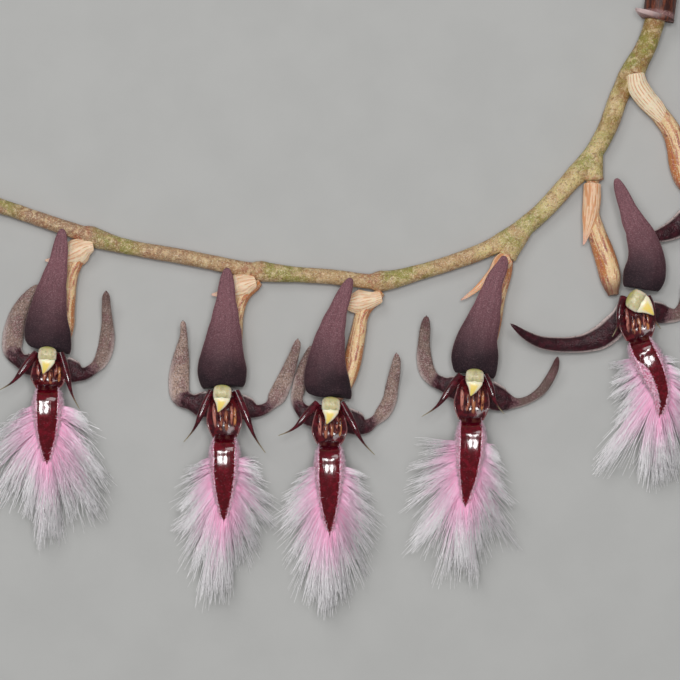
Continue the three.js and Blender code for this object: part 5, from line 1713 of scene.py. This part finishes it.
class ORCHID_OT_sepals(Operator):
    """Make each flower's three sepals and the short hairs on them"""

    bl_idname = "orchid.sepals"
    bl_label = "Sepals"

    def execute(self, context):
        velvet, skin, s = dorsal_velvet(), lateral_skin(), sizes()
        looks = {"material": down_colour("sepal down", colours().down_pale), "lean": SEPAL_DOWN_LEAN}
        looks |= {"spacing": s.down_spacing, "hair_length": s.down_length, "hair_radius": s.down_radius}
        tree = down_tree()
        for k, flower in enumerate(FLOWERS, 1):
            bodies = [
                dorsal_body(flower),
                lateral_body(flower, "left", k - 1 in OPEN_FACED),
                lateral_body(flower, "right", False),
            ]
            mesh = to_mesh(f"velvet_dorsal_sepal_{k}", bodies[0])
            add_piece(mesh, "dorsal_sepal", f"dorsal_sepal_{k}", material=velvet)
            for side, body in zip(("left", "right"), bodies[1:]):
                mesh = to_mesh(f"horned_{side}_sepal_{k}", body)
                add_piece(mesh, "lateral_sepal", f"{side}_sepal_{k}", material=skin)
            source = to_mesh("sepal skins", joined(bodies))
            mesh = grown(f"sepal_down_{k}", source, tree, seed=k, **looks)
            add_piece(mesh, "lateral_sepal", f"left_sepal_{k}", f"right_sepal_{k}")
        return {"FINISHED"}


class ORCHID_OT_columns(Operator):
    """Make the columns with their feet, petals and anther caps"""

    bl_idname = "orchid.columns"
    bl_label = "Columns, petals and caps"

    def execute(self, context):
        foot, petal, wax, tree = foot_gloss(), petal_gloss(), cap_wax(), stalk_tree()
        for k, flower in enumerate(FLOWERS, 1):
            mesh = to_mesh(f"glossy_column_{k}", column_body(flower))
            add_piece(mesh, "column", f"column_{k}", material=foot)
            mesh = to_mesh(f"waxy_cap_{k}", cap_body(flower))
            add_piece(mesh, "anther_cap", f"anther_cap_{k}", material=wax)
            for side, tip in zip(("left", "right"), flower["petals"]):
                line, along, thick = petal_line(flower, tip)
                source = line_mesh("petal line", line, thick, along=along)
                mesh = grown(f"{side}_petal_{k}", source, tree, **PETAL_LOOK, material=petal)
                add_piece(mesh, "column", f"column_{k}")
        return {"FINISHED"}


class ORCHID_OT_lips(Operator):
    """Make the lips with the down on their sides"""

    bl_idname = "orchid.lips"
    bl_label = "Lips"

    def execute(self, context):
        gloss, down, tree = lip_gloss(), down_colour("lip down", linear(255, 226, 240)), down_tree()
        for k, flower in enumerate(FLOWERS, 1):
            body = lip_body(flower)
            add_piece(to_mesh(f"glossy_lip_{k}", body), "lip", f"lip_{k}", material=gloss)
            source = to_mesh("lip skin", body)
            mesh = grown(f"lip_down_{k}", source, tree, seed=20 + k, **LIP_DOWN, material=down)
            add_piece(mesh, "lip", f"lip_{k}")
        return {"FINISHED"}


class ORCHID_OT_brushes(Operator):
    """Make the brush of hairs on each lip"""

    bl_idname = "orchid.brushes"
    bl_label = "Brushes"

    def execute(self, context):
        tree, s = brush_tree(), sizes()
        looks = {"hair_radius": s.hair_radius, "tuft_pull": s.tuft_pull, "material": brush_colour()}
        for k, flower in enumerate(FLOWERS, 1):
            bed = brush_bed(flower)
            area = sum(face.area for face in bed.polygons)
            mesh = grown(
                f"lip_brush_{k}", bed, tree, hair_density=s.hair_count / area,
                tuft_density=s.tuft_count / area, seed=40 + k, waviness=flower["waviness"] * MM,
                hang=flower["hang"] * MM, **looks,
            )
            add_piece(mesh, "lip", f"lip_{k}")
        return {"FINISHED"}


class ORCHID_OT_buds(Operator):
    """Make the closed buds at the young end"""

    bl_idname = "orchid.buds"
    bl_label = "Buds"

    def execute(self, context):
        skin, tree = bud_skin(), stalk_tree()
        for k, bud in enumerate(BUDS, 1):
            start = np.array([*bud["pedicel"][-1], bud["half_width"]])
            tip = np.array([*bud["tip"], bud["half_width"]])
            along = end_crowded(80)
            line = start + (tip - start) * along[:, None]
            plump = profile((0, 0.5), (0.15, 1.0), (0.45, 0.93), (0.8, 0.5), (1, 0.16))(along)
            thick = bud["half_width"] * plump * rounded_ends(along, 0.08, 0.04) + 0.02
            source = line_mesh("bud line", line, thick, ribbed=smoothstep(0, 0.3, along), along=along)
            mesh = grown(f"closed_bud_{k}", source, tree, **BUD_LOOK, material=skin)
            add_piece(mesh, "bud", f"bud_{k}")
        return {"FINISHED"}


class ORCHID_OT_stage(Operator):
    """Make the floor, the lights and the camera above"""

    bl_idname = "orchid.stage"
    bl_label = "Stage"

    def execute(self, context):
        scene = context.scene
        bpy.ops.mesh.primitive_plane_add(size=FLOOR_SIDE, location=(0, 0, -0.00005))
        floor = context.object
        floor.name = "floor"
        floor.data.materials.append(floor_finish())

        world = bpy.data.worlds.new("studio")
        world.use_nodes = True
        sky = world.node_tree.nodes["Background"].inputs
        sky["Color"].default_value, sky["Strength"].default_value = (1.0, 1.0, 1.0, 1.0), SKY_STRENGTH
        scene.world = world
        scene.view_settings.view_transform = "Standard"

        view_middle = Vector((-MIDDLE[0], -MIDDLE[1], 2.5)) * MM
        lights = [
            # name, place (m), side lengths (m), power (W), seen in reflections
            ("key box", (-0.16, 0.24, 0.42), (0.20, 0.20), 0.5, True),
            ("overhead box", (0.0, -0.02, 0.46), (0.2, 0.2), 0.72, False),
            ("left front box", (-0.05, 0.07, 0.42), (0.045, 0.08), 0.3, True),
            ("right front box", (0.05, 0.07, 0.42), (0.045, 0.08), 0.3, True),
        ]
        for name, place, (wide, tall), power, reflected in lights:
            data = bpy.data.lights.new(name, "AREA")
            data.shape, data.size, data.size_y, data.energy = "RECTANGLE", wide, tall, power
            lamp = bpy.data.objects.new(name, data)
            lamp.location = place
            lamp.rotation_euler = (view_middle - Vector(place)).to_track_quat("-Z", "Y").to_euler()
            lamp.visible_glossy = reflected
            scene.collection.objects.link(lamp)

        picture_side, lens, sensor = 0.068, 200.0, 36.0
        camera = bpy.data.objects.new("camera", bpy.data.cameras.new("camera"))
        camera.data.lens, camera.data.sensor_width = lens, sensor
        camera.location = view_middle + Vector((0, 0, picture_side * lens / sensor))
        camera.data.clip_start, camera.data.clip_end = 0.01, 10.0
        scene.collection.objects.link(camera)
        scene.camera = camera
        return {"FINISHED"}


class ORCHID_PT_parts(Panel):
    """The raceme's parts, colours and sizes"""

    bl_idname = "ORCHID_PT_parts"
    bl_label = "Bulbophyllum raceme"
    bl_space_type = "VIEW_3D"
    bl_region_type = "UI"
    bl_category = "Orchid"

    def draw(self, context):
        for maker in MAKERS:
            self.layout.operator(maker.bl_idname)
        for group in (context.scene.raceme_sizes, context.scene.raceme_colours):
            box = self.layout.box()
            for name in type(group).__annotations__:
                box.prop(group, name)


MAKERS = (
    ORCHID_OT_stem,
    ORCHID_OT_sheath,
    ORCHID_OT_bracts,
    ORCHID_OT_stalks,
    ORCHID_OT_sepals,
    ORCHID_OT_columns,
    ORCHID_OT_lips,
    ORCHID_OT_brushes,
    ORCHID_OT_buds,
    ORCHID_OT_stage,
)
CLASSES = (RacemeColours, RacemeSizes, *MAKERS, ORCHID_PT_parts)


def register():
    for cls in CLASSES:
        bpy.utils.register_class(cls)
    bpy.types.Scene.raceme_colours = PointerProperty(type=RacemeColours)
    bpy.types.Scene.raceme_sizes = PointerProperty(type=RacemeSizes)


def unregister():
    del bpy.types.Scene.raceme_sizes
    del bpy.types.Scene.raceme_colours
    for cls in reversed(CLASSES):
        bpy.utils.unregister_class(cls)


def main():
    register()
    for maker in MAKERS:
        group, name = maker.bl_idname.split(".")
        getattr(getattr(bpy.ops, group), name)()


if __name__ == "__main__":
    main()
